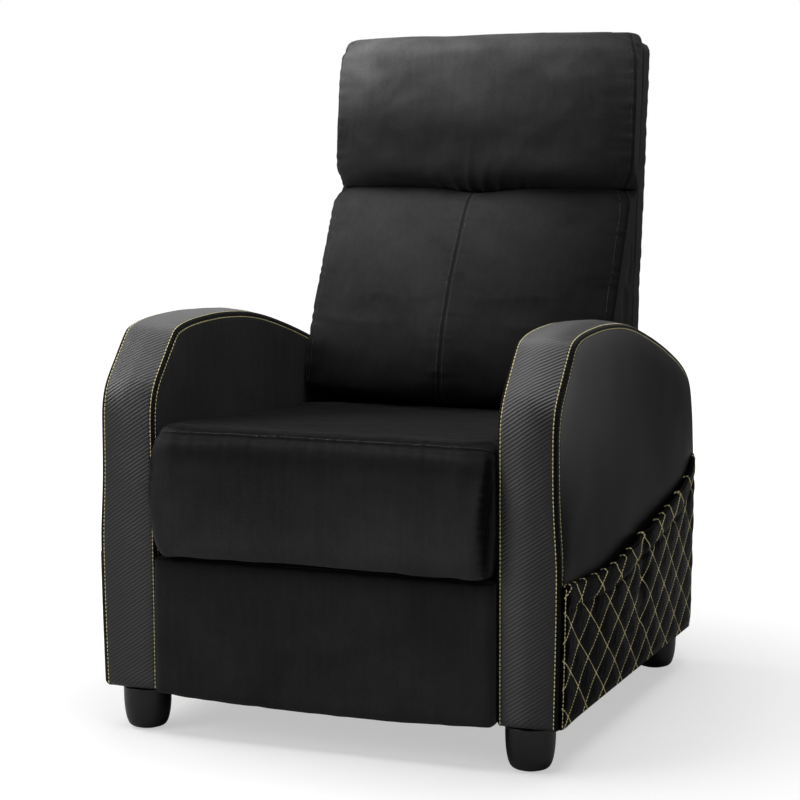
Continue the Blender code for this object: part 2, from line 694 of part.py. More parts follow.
def build_base():
    """The steel rails on the arms, and the tube and the rear panel that tie them together."""
    for side, side_name in ((1, "left"), (-1, "right")):
        front, rear = SWING_FRONT - RAIL_AHEAD, ARM_REAR - RAIL_REAR_INSET
        bottom, top = SWING_BASE_HEIGHT - RAIL_BELOW, SWING_BASE_HEIGHT + RAIL_ABOVE
        corner = RAIL_ABOVE / 2
        outline = [
            (front + corner, bottom), (rear - corner, bottom), (rear, bottom + corner),
            (rear, top - corner), (rear - corner, top), (front + corner, top),
            (front, top - corner), (front, bottom + corner),
        ]
        name = f"base_rail_{side_name}"
        rail = side_plate(name, outline, side * layer_middle(RAIL_LAYER), PLATE)
        tools = []
        for place in (SWING_FRONT, SWING_REAR):
            tools += pin(side, (place, SWING_BASE_HEIGHT), RAIL_LAYER, SWING_LAYER)
        combine(rail, tools, "UNION")
        give_finish(rail, BLACK_STEEL)
    reach = layer_middle(RAIL_LAYER) - PLATE / 2 - GAP
    centre = (TUBE_PLACE, SWING_BASE_HEIGHT - TUBE_DROP)
    tube = rod("base_cross_tube", -reach, reach, centre, TUBE_RADIUS, TUBE_SIDES)
    bore = rod("bore", -2 * reach, 2 * reach, centre, TUBE_RADIUS - TUBE_WALL, TUBE_SIDES)
    combine(tube, [bore], "DIFFERENCE")
    give_finish(tube, BLACK_STEEL)
    reach = INNER_FACE - GAP
    rear = ARM_REAR - REAR_PANEL_INSET
    panel = box("rear_panel", (-reach, reach), (rear - REAR_PANEL_THICKNESS, rear),
                (REAR_PANEL_BOTTOM, REAR_PANEL_TOP))
    round_edges(panel, REAR_PANEL_ROUND)
    give_finish(panel, VELVET)


def build_swings():
    """Four swing links between the base rails and the seat plates."""
    for side, side_name in ((1, "left"), (-1, "right")):
        for place, end_name in ((SWING_FRONT, "front"), (SWING_REAR, "rear")):
            base = (place, SWING_BASE_HEIGHT)
            top = swing_top(place)
            link(f"swing_link_{end_name}_{side_name}", side, SWING_LAYER, (base, top),
                 holes=(base,), pins=((top, SWING_LAYER, SEAT_LAYER),), radius=SWING_RADIUS)


def build_seat_plate(side, side_name):
    """The steel side plate that carries the seat, the back hinge and the footrest pivots."""
    y_hinge, z_hinge = BACK_HINGE
    lug = HINGE_RADIUS
    top = SEAT_FRAME_TOP - SEAT_PLATE_DROP
    held = [CRANK_AXIS, IDLER_AXIS, swing_top(SWING_FRONT), swing_top(SWING_REAR)]
    rounds = [point for place in held
              for point in circle_points(place, SEAT_PLATE_MARGIN, LINK_SIDES)]
    outline = hull(rounds + [(SEAT_PLATE_FRONT, top), (y_hinge + lug, z_hinge - lug)])
    outline += [
        (y_hinge + lug, z_hinge + lug / 2), (y_hinge + lug / 2, z_hinge + lug),
        (y_hinge - lug, z_hinge + lug), (y_hinge - 2 * lug, top),
    ]
    holes = [circle_points(swing_top(place), PIN_RADIUS + PIN_CLEARANCE)
             for place in (SWING_FRONT, SWING_REAR)]
    plate = side_plate(f"seat_plate_{side_name}", outline, side * layer_middle(SEAT_LAYER),
                       PLATE, holes)
    tools = []
    for place in (CRANK_AXIS, IDLER_AXIS, BACK_HINGE):
        tools += pin(side, place, SEAT_LAYER, CRANK_LAYER)
    combine(plate, tools, "UNION")
    give_finish(plate, BLACK_STEEL)


def build_spring(number, place):
    """A sinuous spring from the front rail to the rear rail."""
    start = SEAT_FRAME_FRONT + SEAT_RAIL_WIDTH + GAP + SPRING_WIRE
    end = SEAT_FRAME_REAR - SEAT_RAIL_WIDTH - GAP - SPRING_WIRE
    height = SEAT_FRAME_TOP - SPRING_WIRE - SPRING_DROP
    waves = round((end - start) / SPRING_PITCH)
    count = waves * SPRING_WAVE_POINTS
    curve = bpy.data.curves.new("spring", "CURVE")
    curve.dimensions = "3D"
    curve.bevel_depth = SPRING_WIRE
    curve.bevel_resolution = 1
    curve.use_fill_caps = True
    spline = curve.splines.new("POLY")
    spline.points.add(count + 2)
    ends = [(place, start - SPRING_WIRE), (place, end + SPRING_WIRE)]
    wave = []
    for index in range(count + 1):
        turn = 2 * math.pi * index / SPRING_WAVE_POINTS
        y = start + (end - start) * index / count
        wave.append((place + SPRING_SWING * math.sin(turn), y))
    for point, (x, y) in zip(spline.points, [ends[0], *wave, ends[1]]):
        point.co = (x, y, height, 1.0)
    wire = bpy.data.objects.new(f"seat_spring_{number}_wire", curve)
    CHAIR.objects.link(wire)
    bpy.context.view_layer.update()
    graph = bpy.context.evaluated_depsgraph_get()
    mesh = bpy.data.meshes.new_from_object(wire.evaluated_get(graph))
    work = bmesh.new()
    work.from_mesh(mesh)
    bmesh.ops.remove_doubles(work, verts=work.verts, dist=MERGE)
    spring = mesh_object(f"seat_spring_{number}", work)
    bpy.data.objects.remove(wire, do_unlink=True)
    give_finish(spring, SPRING_STEEL)


def build_seat_cushion():
    """The seat cushion, whose rolled front hangs before the seat frame."""
    floor = SEAT_FRAME_TOP + GAP
    depth, height = SEAT_FRONT - SEAT_REAR, SEAT_TOP - floor
    ledge = SEAT_FRAME_FRONT - GAP
    hard = {0}
    profile = [(SEAT_REAR, floor)]
    for s, t in SEAT_TOP_SHARES:
        profile.append((SEAT_REAR + s * depth, floor + t * height))
    for s, t in BOLSTER_SHARES:
        profile.append((SEAT_REAR + s * depth, BOLSTER_BOTTOM + t * (floor - BOLSTER_BOTTOM)))
    for corner in ((ledge, BOLSTER_BOTTOM), (ledge, floor)):
        hard.add(len(profile))
        profile.append(corner)
    for s in SEAT_FLOOR_SHARES:
        hard.add(len(profile))
        profile.append((SEAT_REAR + s * depth, floor))
    heart = ((SEAT_REAR + ledge) / 2, floor + height / 2)
    rings = []
    for x, ring_number in stations(SEAT_HALF_WIDTH, CUSHION_STATION_SHARES):
        side = x / SEAT_HALF_WIDTH
        draw = SEAT_DRAW * END_DRAW_SHARES.get(ring_number, 0.0)
        ring = []
        for index, (y, z) in enumerate(profile):
            waist = SEAT_WAIST * side * math.sin(math.pi * (y - SEAT_REAR) / depth)
            if index in hard:
                ring.append((x - waist, y, z))
                continue
            inwards = Vector((heart[0] - y, heart[1] - z)).normalized() * draw
            crown = SEAT_CROWN * side ** 4 * max(z - floor, 0.0) / height
            ring.append((x - waist, y + inwards.x, z + inwards.y - crown))
        rings.append(ring)
    seat = cushion("seat_cushion", rings, sorted(hard))
    give_finish(seat, VELVET)


def build_seat():
    """The seat: its plates, wooden rails, springs and cushion."""
    side_face = layer_middle(SEAT_LAYER) - PLATE / 2 - GAP
    z_span = (SEAT_FRAME_BOTTOM, SEAT_FRAME_TOP)
    front_inner = SEAT_FRAME_FRONT + SEAT_RAIL_WIDTH
    rear_inner = SEAT_FRAME_REAR - SEAT_RAIL_WIDTH
    rails = [
        box("seat_front_rail", (-side_face, side_face), (SEAT_FRAME_FRONT, front_inner), z_span),
        box("seat_rear_rail", (-side_face, side_face), (rear_inner, SEAT_FRAME_REAR), z_span),
    ]
    for side, side_name in ((1, "left"), (-1, "right")):
        x_span = sorted((side * side_face, side * (side_face - SIDE_RAIL_WIDTH)))
        rails.append(box(f"seat_side_rail_{side_name}", x_span,
                         (front_inner + GAP, rear_inner - GAP), z_span))
        build_seat_plate(side, side_name)
    for rail in rails:
        round_edges(rail, RAIL_ROUND)
        give_finish(rail, PLYWOOD)
    for number, place in enumerate(SPRING_PLACES, start=1):
        build_spring(number, place)
    build_seat_cushion()


def leaning_block(name, x_span, heights, depths):
    """A block that leans with the back: its depths are taken from the back's rear face."""
    low, high = heights
    near, far = depths
    outline = [
        (back_plane(low, near), low), (back_plane(low, far), low),
        (back_plane(high, far), high), (back_plane(high, near), high),
    ]
    return side_plate(name, outline, sum(x_span) / 2, abs(x_span[1] - x_span[0]))


def build_back_bracket(side, side_name):
    """The plate that joins the back's post to the hinge on the seat plate."""
    y_hinge, z_hinge = BACK_HINGE
    front = COVER_THICKNESS + GAP + FRAME_DEPTH
    top, bottom = BRACKET_TOP, z_hinge - HINGE_RADIUS
    outline = hull(
        circle_points(BACK_HINGE, HINGE_RADIUS - PLATE, LINK_SIDES)
        + [(back_plane(bottom, front) + BRACKET_LAP, bottom),
           (back_plane(top, front) + BRACKET_LAP, top), (back_plane(top, front) + GAP, top)]
    )
    hole = circle_points(BACK_HINGE, PIN_RADIUS + PIN_CLEARANCE)
    plate = side_plate(f"back_bracket_{side_name}", outline, side * layer_middle(CRANK_LAYER),
                       PLATE, [hole])
    give_finish(plate, BLACK_STEEL)


def build_back_cover():
    """The rear cover: a shell over the frame's back, sides and top, open at the front."""
    depth = COVER_THICKNESS + GAP + FRAME_DEPTH
    work = bmesh.new()
    levels = [(COVER_BOTTOM, COVER_HALF_WIDTH), (ARM_BASE + ARM_HEIGHT, COVER_HALF_WIDTH)]
    for up, inwards in COVER_CORNER_SHARES:
        levels.append((BACK_TOP - COVER_CORNER * (1 - up),
                       COVER_TOP_HALF_WIDTH - COVER_CORNER * inwards))
    rows = []
    for height, half in levels:
        front, rear = back_plane(height, depth), back_plane(height, 0.0)
        corners = [(-half, front), (-half, rear), (half, rear), (half, front)]
        rows.append([work.verts.new((x, y, height)) for x, y in corners])
    for low, high in zip(rows, rows[1:]):
        for index in range(3):
            work.faces.new((low[index], low[index + 1], high[index + 1], high[index]))
    work.faces.new(rows[-1])
    bmesh.ops.recalc_face_normals(work, faces=work.faces)
    cover = mesh_object("back_cover", work)
    centre = Vector((0.0, back_plane(BACK_REAR_HEIGHT, depth), BACK_REAR_HEIGHT))
    rear_face = max(cover.data.polygons, key=lambda face: face.center.y)
    if rear_face.normal.dot(rear_face.center - centre) < 0:
        cover.data.flip_normals()
    shell = cover.modifiers.new("shell", "SOLIDIFY")
    shell.thickness = COVER_THICKNESS
    shell.offset = -1.0
    shell.use_even_offset = True
    give_finish(cover, VELVET)


def build_back_cushion(name, half_width, span, thickness, shares, form, station_shares):
    """A cushion on the front of the back's frame: it swells, its sides draw in, its seam dips."""
    crown_share, shoulder, waist, channel = form
    bottom, top = span
    plane_depth = COVER_THICKNESS + 2 * GAP + FRAME_DEPTH
    height = top - bottom
    rows = [(0.0, 0.0)] + shares + [(1.0, 0.0), (0.5, 0.0)]
    hard = [0, len(rows) - 2, len(rows) - 1]
    rings = []
    for x, ring_number in stations(half_width, station_shares):
        side = abs(x) / half_width
        lowered = shoulder * side ** 8
        end_round = END_ROUND * END_DRAW_SHARES.get(ring_number, 0.0)
        dip = channel if x == 0.0 else 0.0
        ring = []
        for s, t in rows:
            z = bottom + s * (height - lowered)
            pulled = waist * math.sin(math.pi * s) * x / half_width
            forward = t * thickness * (1 - crown_share * side ** CROWN_POWER)
            forward = max(forward - (end_round + dip if t else 0.0), 0.0)
            ring.append((x - pulled, back_plane(z, plane_depth) - forward, z))
        rings.append(ring)
    give_finish(cushion(name, rings, hard), VELVET)


def build_back():
    """The back: its frame, straps, brackets, cover and two cushions."""
    near = COVER_THICKNESS + GAP
    far = near + FRAME_DEPTH
    outer = layer_middle(CRANK_LAYER) - PLATE / 2 - GAP
    inner = outer - BACK_POST_WIDTH
    for side, side_name in ((1, "left"), (-1, "right")):
        x_span = sorted((side * inner, side * outer))
        post = leaning_block(f"back_post_{side_name}", x_span, (BACK_POST_BOTTOM, BACK_POST_TOP),
                             (near, far))
        give_finish(post, PLYWOOD)
        build_back_bracket(side, side_name)
    between = (-(inner - GAP), inner - GAP)
    rails = (
        ("back_top_rail", BACK_POST_TOP - BACK_RAIL_HEIGHT),
        ("back_bottom_rail", BACK_BOTTOM_RAIL),
    )
    for name, bottom in rails:
        rail = leaning_block(name, between, (bottom, bottom + BACK_RAIL_HEIGHT), (near, far))
        give_finish(rail, PLYWOOD)
    strap_near = near + FRAME_DEPTH * (1 - STRAP_DEPTH_SHARE) - STRAP_THICKNESS
    for number, height in enumerate(STRAP_PLACES, start=1):
        strip = leaning_block(f"back_strap_{number}", between, (height, height + STRAP_HEIGHT),
                              (strap_near, strap_near + STRAP_THICKNESS))
        give_finish(strip, WEBBING)
    build_back_cover()
    build_back_cushion("lumbar_cushion", LUMBAR_HALF_WIDTH, (LUMBAR_BOTTOM, LUMBAR_TOP),
                       LUMBAR_THICKNESS, LUMBAR_FRONT_SHARES,
                       (LUMBAR_CROWN_SHARE, LUMBAR_SHOULDER, LUMBAR_WAIST, LUMBAR_CHANNEL),
                       CHANNEL_STATION_SHARES)
    build_back_cushion("head_cushion", HEAD_HALF_WIDTH, (HEAD_BOTTOM, HEAD_TOP),
                       HEAD_THICKNESS, HEAD_FRONT_SHARES,
                       (HEAD_CROWN_SHARE, HEAD_SHOULDER, HEAD_WAIST, 0.0),
                       CUSHION_STATION_SHARES)


def build_crank():
    """Both footrest cranks on the torque tube that turns them together."""
    end = layer_middle(CRANK_LAYER) - PLATE / 2
    tube = rod("footrest_crank", -end - PLATE / 2, end + PLATE / 2, CRANK_AXIS, TORQUE_TUBE_RADIUS,
               TUBE_SIDES)
    tools = []
    for side in (1, -1):
        middle = side * layer_middle(CRANK_LAYER)
        tools.append(side_plate("arm", strap((CRANK_AXIS, CRANK_TIP), LINK_RADIUS), middle, PLATE))
        tools += pin(side, CRANK_TIP, CRANK_LAYER, COUPLER_LAYER)
    combine(tube, tools, "UNION")
    bore = rod("bore", -end, end, CRANK_AXIS, TORQUE_TUBE_BORE, TUBE_SIDES)
    holes = rod("holes", -2 * end, 2 * end, CRANK_AXIS, PIN_RADIUS + PIN_CLEARANCE)
    combine(tube, [bore, holes], "DIFFERENCE")
    give_finish(tube, BLACK_STEEL)


def build_leg_bracket(side, side_name):
    """The plate on the end of the footrest board, with its two pins."""
    front = LEG_BOARD_FRONT
    rear = front + LEG_BOARD_THICKNESS
    low = LEG_LOWER[1] - BRACKET_FOOT
    outline = hull(
        circle_points(LEG_UPPER, LINK_RADIUS, LINK_SIDES)
        + circle_points(LEG_LOWER, LINK_RADIUS, LINK_SIDES)
        + [(front, low), (front, LEG_BOARD_TOP - PLATE), (rear, low),
           (rear, LEG_BOARD_TOP - PLATE)]
    )
    plate = side_plate(f"footrest_bracket_{side_name}", outline, side * layer_middle(LEG_LAYER),
                       PLATE)
    tools = pin(side, LEG_UPPER, LEG_LAYER, COUPLER_LAYER)
    tools += pin(side, LEG_LOWER, LEG_LAYER, COUPLER_LAYER, LOOSE_HEAD_RADIUS)
    combine(plate, tools, "UNION")
    give_finish(plate, BLACK_STEEL)


def build_footrest():
    """The footrest linkage on both sides, and the board, brackets and pad that it carries."""
    build_crank()
    for side, side_name in ((1, "left"), (-1, "right")):
        link(f"footrest_coupler_{side_name}", side, COUPLER_LAYER,
             (CRANK_TIP, IDLER_CROSSING, LEG_UPPER), holes=(CRANK_TIP, LEG_UPPER),
             loose_holes=(IDLER_CROSSING,))
        link(f"footrest_idler_{side_name}", side, CRANK_LAYER,
             (IDLER_AXIS, IDLER_CROSSING, IDLER_TIP), holes=(IDLER_AXIS,),
             pins=((IDLER_CROSSING, CRANK_LAYER, COUPLER_LAYER, LOOSE_HEAD_RADIUS),
                   (IDLER_TIP, CRANK_LAYER, COUPLER_LAYER)))
        link(f"footrest_push_link_{side_name}", side, COUPLER_LAYER, (IDLER_TIP, LEG_LOWER),
             holes=(IDLER_TIP,), loose_holes=(LEG_LOWER,))
        build_leg_bracket(side, side_name)
    board_end = layer_middle(LEG_LAYER) - PLATE / 2 - GAP
    board = box("footrest_board", (-board_end, board_end),
                (LEG_BOARD_FRONT, LEG_BOARD_FRONT + LEG_BOARD_THICKNESS),
                (LEG_BOARD_BOTTOM, LEG_BOARD_TOP))
    give_finish(board, PLYWOOD)
    build_footrest_pad()


def build_footrest_pad():
    """The padded front of the footrest."""
    rear = LEG_BOARD_FRONT - GAP
    thickness, height = rear - LEG_PAD_FRONT, LEG_PAD_TOP - LEG_PAD_BOTTOM
    profile = [(rear, LEG_PAD_BOTTOM)]
    for s, t in LEG_PAD_SHARES:
        profile.append((rear - t * thickness, LEG_PAD_BOTTOM + s * height))
    profile.append((rear, LEG_PAD_TOP))
    hard = {0, len(profile) - 1}
    rings = []
    for x, ring_number in stations(LEG_PAD_HALF_WIDTH, CUSHION_STATION_SHARES):
        side = x / LEG_PAD_HALF_WIDTH
        ring = []
        for index, (y, z) in enumerate(profile):
            share = (z - LEG_PAD_BOTTOM) / height
            pulled = LEG_PAD_WAIST * side * math.sin(math.pi * share)
            crown = LEG_PAD_CROWN * (side ** 4 + END_DRAW_SHARES.get(ring_number, 0.0) / 2)
            ring.append((x - pulled, y if index in hard else y + crown, z))
        rings.append(ring)
    give_finish(cushion("footrest_pad", rings, sorted(hard)), VELVET)


def hang_on_axis(name, place, pieces):
    """Parent moving pieces to an empty on their joint's axis, without moving them."""
    axis = bpy.data.objects.new(name, None)
    axis.location = (0.0, place[0], place[1])
    GUIDES.objects.link(axis)
    bpy.context.view_layer.update()
    for piece in pieces:
        obj = bpy.data.objects[piece]
        obj.parent = axis
        obj.matrix_parent_inverse = axis.matrix_world.inverted()


def place_axes():
    """Give every moving piece its joint's axis."""
    sides = ("left", "right")
    for side in sides:
        for place, end in ((SWING_FRONT, "front"), (SWING_REAR, "rear")):
            hang_on_axis(f"axis_swing_{end}_{side}", (place, SWING_BASE_HEIGHT),
                         [f"swing_link_{end}_{side}"])
        hang_on_axis(f"axis_coupler_{side}", CRANK_TIP, [f"footrest_coupler_{side}"])
        hang_on_axis(f"axis_idler_{side}", IDLER_AXIS, [f"footrest_idler_{side}"])
        hang_on_axis(f"axis_push_link_{side}", IDLER_TIP, [f"footrest_push_link_{side}"])
    seat = ["seat_cushion", "seat_front_rail", "seat_rear_rail"]
    seat += [f"seat_spring_{number}" for number in range(1, len(SPRING_PLACES) + 1)]
    seat += [f"seat_{part}_{side}" for part in ("plate", "side_rail") for side in sides]
    hang_on_axis("axis_seat", swing_top(SWING_FRONT), seat)
    back = ["back_cover", "lumbar_cushion", "head_cushion", "back_top_rail", "back_bottom_rail"]
    back += [f"back_strap_{number}" for number in range(1, len(STRAP_PLACES) + 1)]
    back += [f"back_{part}_{side}" for part in ("post", "bracket") for side in sides]
    hang_on_axis("axis_back", BACK_HINGE, back)
    hang_on_axis("axis_crank", CRANK_AXIS, ["footrest_crank"])
    leg = ["footrest_board", "footrest_pad"] + [f"footrest_bracket_{side}" for side in sides]
    hang_on_axis("axis_footrest", LEG_UPPER, leg)


def shade_round_pieces():
    """Shade curved pieces smooth and keep their hard edges."""
    for obj in CHAIR.objects:
        obj.data.shade_smooth()
        obj.data.set_sharp_from_angle(angle=math.radians(35.0))


clear_scene()
CHAIR = make_collection("reclining_armchair")
GUIDES = make_collection("joint_axes")
build_feet()
for arm_side, arm_side_name in ((1, "left"), (-1, "right")):
    build_arm(arm_side, arm_side_name)
build_base()
build_swings()
build_seat()
build_back()
build_footrest()
place_axes()
shade_round_pieces()
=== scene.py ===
"""Dresses the push-back recliner: covers, cushions, stitching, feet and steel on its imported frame.

Lengths are metres in the chair's own frame. It faces -Y, stands on z = 0 and "left" is +X.
"""
import logging
import math
from dataclasses import dataclass, field
from enum import Enum
from typing import Callable, Iterable, Sequence

import bmesh
import bpy
import numpy as np
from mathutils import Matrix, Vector
from mathutils.bvhtree import BVHTree


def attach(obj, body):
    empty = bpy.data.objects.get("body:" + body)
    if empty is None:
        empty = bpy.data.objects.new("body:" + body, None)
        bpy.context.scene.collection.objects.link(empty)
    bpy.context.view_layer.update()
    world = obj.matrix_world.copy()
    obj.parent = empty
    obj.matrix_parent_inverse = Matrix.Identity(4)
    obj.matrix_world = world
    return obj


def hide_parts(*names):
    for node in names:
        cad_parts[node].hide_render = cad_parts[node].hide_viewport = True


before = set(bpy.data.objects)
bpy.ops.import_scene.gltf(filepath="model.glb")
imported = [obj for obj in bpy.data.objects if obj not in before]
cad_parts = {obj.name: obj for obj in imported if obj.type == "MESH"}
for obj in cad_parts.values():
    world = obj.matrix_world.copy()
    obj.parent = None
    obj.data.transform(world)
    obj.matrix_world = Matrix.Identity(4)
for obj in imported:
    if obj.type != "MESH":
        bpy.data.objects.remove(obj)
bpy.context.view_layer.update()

LOG = logging.getLogger("recliner")
MERGE = 0.00002  # points closer together than this are one
TURN = 2 * math.pi
WHITE = (1.0, 1.0, 1.0, 1.0)
GATHER_PITCH = 0.0047  # from one gather to the next along a seam
SHARE_NAMES = ("share_x", "share_y", "share_z")
Colour = tuple[float, float, float, float]
Table = tuple[tuple[float, float], ...]
Place = tuple[float, float, float]
Array = np.ndarray
Node, NodeTree, Socket = bpy.types.Node, bpy.types.NodeTree, bpy.types.NodeSocket
Object = bpy.types.Object


class Side(Enum):
    """The two sides of the chair, with the sign of their x values."""

    LEFT = 1
    RIGHT = -1

    @property
    def word(self) -> str:
        """The side's name as the nodes spell it."""
        return self.name.lower()


class Slot(Enum):
    """The material slots that the finishes belong to."""

    VELVET = "velvet"
    RIBBED = "ribbed_cover"
    SMOOTH = "smooth_cover"
    QUILTED = "quilted_cover"
    PLASTIC = "black_plastic"
    PLYWOOD = "plywood"
    STEEL = "black_steel"
    SPRING = "spring_steel"
    WEBBING = "webbing"


# ---------------------------------------------------------------------------------------------
# Curves and meshes


def smooth_path(points: Sequence[Sequence[float]], steps: int) -> Array:
    """Follow a smooth curve through points.

    Args:
        points: Places that the curve passes through.
        steps: How many pieces each span is cut into.

    Returns:
        The curve's points, one row each.
    """
    knots = np.asarray(points, float)
    padded = np.vstack([knots[:1], knots, knots[-1:]])
    turns = (np.arange(steps) / steps)[:, None]
    spans = []
    for index in range(len(knots) - 1):
        a, b, c, d = padded[index:index + 4]
        spans.append(0.5 * (2 * b + (c - a) * turns + (2 * a - 5 * b + 4 * c - d) * turns ** 2
                            + (3 * b - a - 3 * c + d) * turns ** 3))
    return np.vstack([*spans, knots[-1:]])


def resample(path: Array, spacing: float, closed: bool = False) -> Array:
    """Space points evenly along a path.

    Args:
        path: The path's points.
        spacing: The wanted distance between points.
        closed: Whether the path's end joins its start.

    Returns:
        The evenly spaced points.
    """
    ring = np.vstack([path, path[:1]]) if closed else path
    reach = arc_lengths(ring)
    count = max(int(round(reach[-1] / spacing)), 2)
    wanted = np.linspace(0.0, reach[-1], count + 1)
    if closed:
        wanted = wanted[:-1]
    return np.stack([np.interp(wanted, reach, ring[:, axis]) for axis in range(ring.shape[1])], 1)


def arc_lengths(path: Array) -> Array:
    """Distances along a path from its start to each of its points."""
    return np.concatenate([[0.0], np.cumsum(np.linalg.norm(np.diff(path, axis=0), axis=1))])


def outward_normals(path: Array, closed: bool) -> Array:
    """Normals of a clockwise (y, z) path, pointing out of the shape.

    Args:
        path: The path's points.
        closed: Whether the path's end joins its start.

    Returns:
        One unit normal for each point.
    """
    if closed:
        along = np.roll(path, -1, axis=0) - np.roll(path, 1, axis=0)
    else:
        along = np.gradient(path, axis=0)
    along /= np.maximum(np.linalg.norm(along, axis=1, keepdims=True), 1e-9)
    return np.stack([-along[:, 1], along[:, 0]], 1)


def smoothstep(value: Array, low: float, high: float) -> Array:
    """Rise smoothly from 0 at low to 1 at high."""
    share = np.clip((value - low) / (high - low), 0.0, 1.0)
    return share * share * (3 - 2 * share)


def bell(distance: Array, width: float) -> Array:
    """A bell curve that is 1 at distance 0."""
    return np.exp(-(distance / width) ** 2)


def soft_noise(points: Array, scale: float, seed: int) -> Array:
    """Smooth unevenness over space, from about -1 to 1.

    Args:
        points: Places, one row each.
        scale: Size of the waves.
        seed: Which pattern it is.

    Returns:
        One value for each place.
    """
    chance = np.random.default_rng(seed)
    total = np.zeros(len(points))
    waves = 12
    for _ in range(waves):
        direction = chance.normal(size=points.shape[1])
        direction *= TURN / scale / max(np.linalg.norm(direction), 1e-6)
        total += np.cos(points @ direction * chance.uniform(0.6, 1.5)
                        + chance.uniform(0, TURN))
    return total / math.sqrt(waves * 2)


def plane_noise(y: Array, z: Array, scale: float, seed: int) -> Array:
    """Smooth unevenness over (y, z) places held as two arrays of one shape."""
    return soft_noise(np.stack([np.ravel(y), np.ravel(z)], 1), scale, seed).reshape(np.shape(y))


def distances(points: Array, path: Array) -> tuple[Array, Array]:
    """Measure how far points are from a path's own points.

    Args:
        points: Places to measure from.
        path: The path's points, close together.

    Returns:
        Each place's distance, and the number of the path point nearest to it.
    """
    far = np.empty(len(points))
    which = np.empty(len(points), int)
    for start in range(0, len(points), 4000):
        part = points[start:start + 4000]
        apart = ((part[:, None, :] - path[None, :, :]) ** 2).sum(2)
        which[start:start + 4000] = apart.argmin(1)
        far[start:start + 4000] = np.sqrt(apart.min(1))
    return far, which


def strip_faces(rows: int, columns: int, closed: bool = False) -> list[tuple[int, ...]]:
    """Quads between rows of points.

    Args:
        rows: Number of rows.
        columns: Number of points in a row.
        closed: Whether each row joins up with its start.

    Returns:
        The faces, as numbers of points counted row by row.
    """
    faces = []
    last = columns if closed else columns - 1
    for row in range(rows - 1):
        for column in range(last):
            following = (column + 1) % columns
            low, high = row * columns, (row + 1) * columns
            faces.append((low + column, low + following, high + following, high + column))
    return faces


def sheet_faces(rows: int, columns: int) -> list[tuple[int, ...]]:
    """Faces of a thin sheet: two grids of points, one after the other, joined round their rim.

    Args:
        rows: Number of rows in each grid.
        columns: Number of points in a row.

    Returns:
        The faces, as numbers of points.
    """
    count = rows * columns
    near = strip_faces(rows, columns)
    far = [tuple(count + index for index in face) for face in near]
    rim = ([*range(columns)] + [row * columns + columns - 1 for row in range(1, rows)]
           + [(rows - 1) * columns + column for column in range(columns - 2, -1, -1)]
           + [row * columns for row in range(rows - 2, 0, -1)])
    edge = [(here, there, count + there, count + here) for here, there in zip(rim, rim[1:] + rim[:1])]
    return near + far + edge


def new_object(name: str, data: bpy.types.ID | None) -> Object:
    """Put a new object into the scene."""
    obj = bpy.data.objects.new(name, data)
    bpy.context.scene.collection.objects.link(obj)
    return obj


def make_skin(name: str, points: Array, faces: Iterable[Sequence[int]], merge: bool = False,
              turn: bool = True) -> Object:
    """Make a piece from points and faces.

    Args:
        name: The piece's name.
        points: Places, in any number of rows.
        faces: Faces as numbers of points.
        merge: Whether points at one place become one.
        turn: Whether the faces are turned outwards afterwards.

    Returns:
        The new object, shaded smooth.
    """
    mesh = bpy.data.meshes.new(name)
    mesh.from_pydata(points.reshape(-1, 3).tolist(), [], faces)
    work = bmesh.new()
    work.from_mesh(mesh)
    if merge:
        bmesh.ops.remove_doubles(work, verts=work.verts, dist=MERGE)
        bmesh.ops.dissolve_degenerate(work, edges=work.edges, dist=MERGE / 2)
    if turn:
        bmesh.ops.recalc_face_normals(work, faces=work.faces)
    work.to_mesh(mesh)
    work.free()
    mesh.shade_smooth()
    return new_object(name, mesh)


def coordinates(obj: Object) -> Array:
    """The places of a mesh's points, one row each."""
    flat = np.empty(len(obj.data.vertices) * 3)
    obj.data.vertices.foreach_get("co", flat)
    return flat.reshape(-1, 3)


def point_normals(obj: Object) -> Array:
    """The normals at a mesh's points, one row each."""
    flat = np.empty(len(obj.data.vertices) * 3)
    obj.data.vertex_normals.foreach_get("vector", flat)
    return flat.reshape(-1, 3)


def put_coordinates(obj: Object, places: Array) -> None:
    """Move a mesh's points to new places."""
    obj.data.vertices.foreach_set("co", places.ravel())
    obj.data.update()


def put_values(obj: Object, name: str, values: Array) -> None:
    """Store one number for each point of a mesh as a named attribute."""
    layer = obj.data.attributes.get(name) or obj.data.attributes.new(name, "FLOAT", "POINT")
    layer.data.foreach_set("value", np.asarray(values, np.float32))


def get_values(obj: Object, name: str) -> Array:
    """Read a named attribute with one number for each point."""
    values = np.empty(len(obj.data.vertices), np.float32)
    obj.data.attributes[name].data.foreach_get("value", values)
    return values.astype(float)


def put_uv(obj: Object, across: Array, up: Array) -> None:
    """Give a mesh a UV map in metres from two numbers for each point."""
    layer = obj.data.uv_layers.new(name="UVMap")
    corners = np.empty(len(obj.data.loops), int)
    obj.data.loops.foreach_get("vertex_index", corners)
    layer.data.foreach_set("uv", np.stack([across[corners], up[corners]], 1).ravel())


def settle(obj: Object) -> None:
    """Replace a piece's mesh by what its modifiers make of it, and drop the modifiers."""
    bpy.context.view_layer.update()
    graph = bpy.context.evaluated_depsgraph_get()
    mesh = bpy.data.meshes.new_from_object(obj.evaluated_get(graph), depsgraph=graph,
                                           preserve_all_data_layers=True)
    obj.modifiers.clear()
    obj.data = mesh


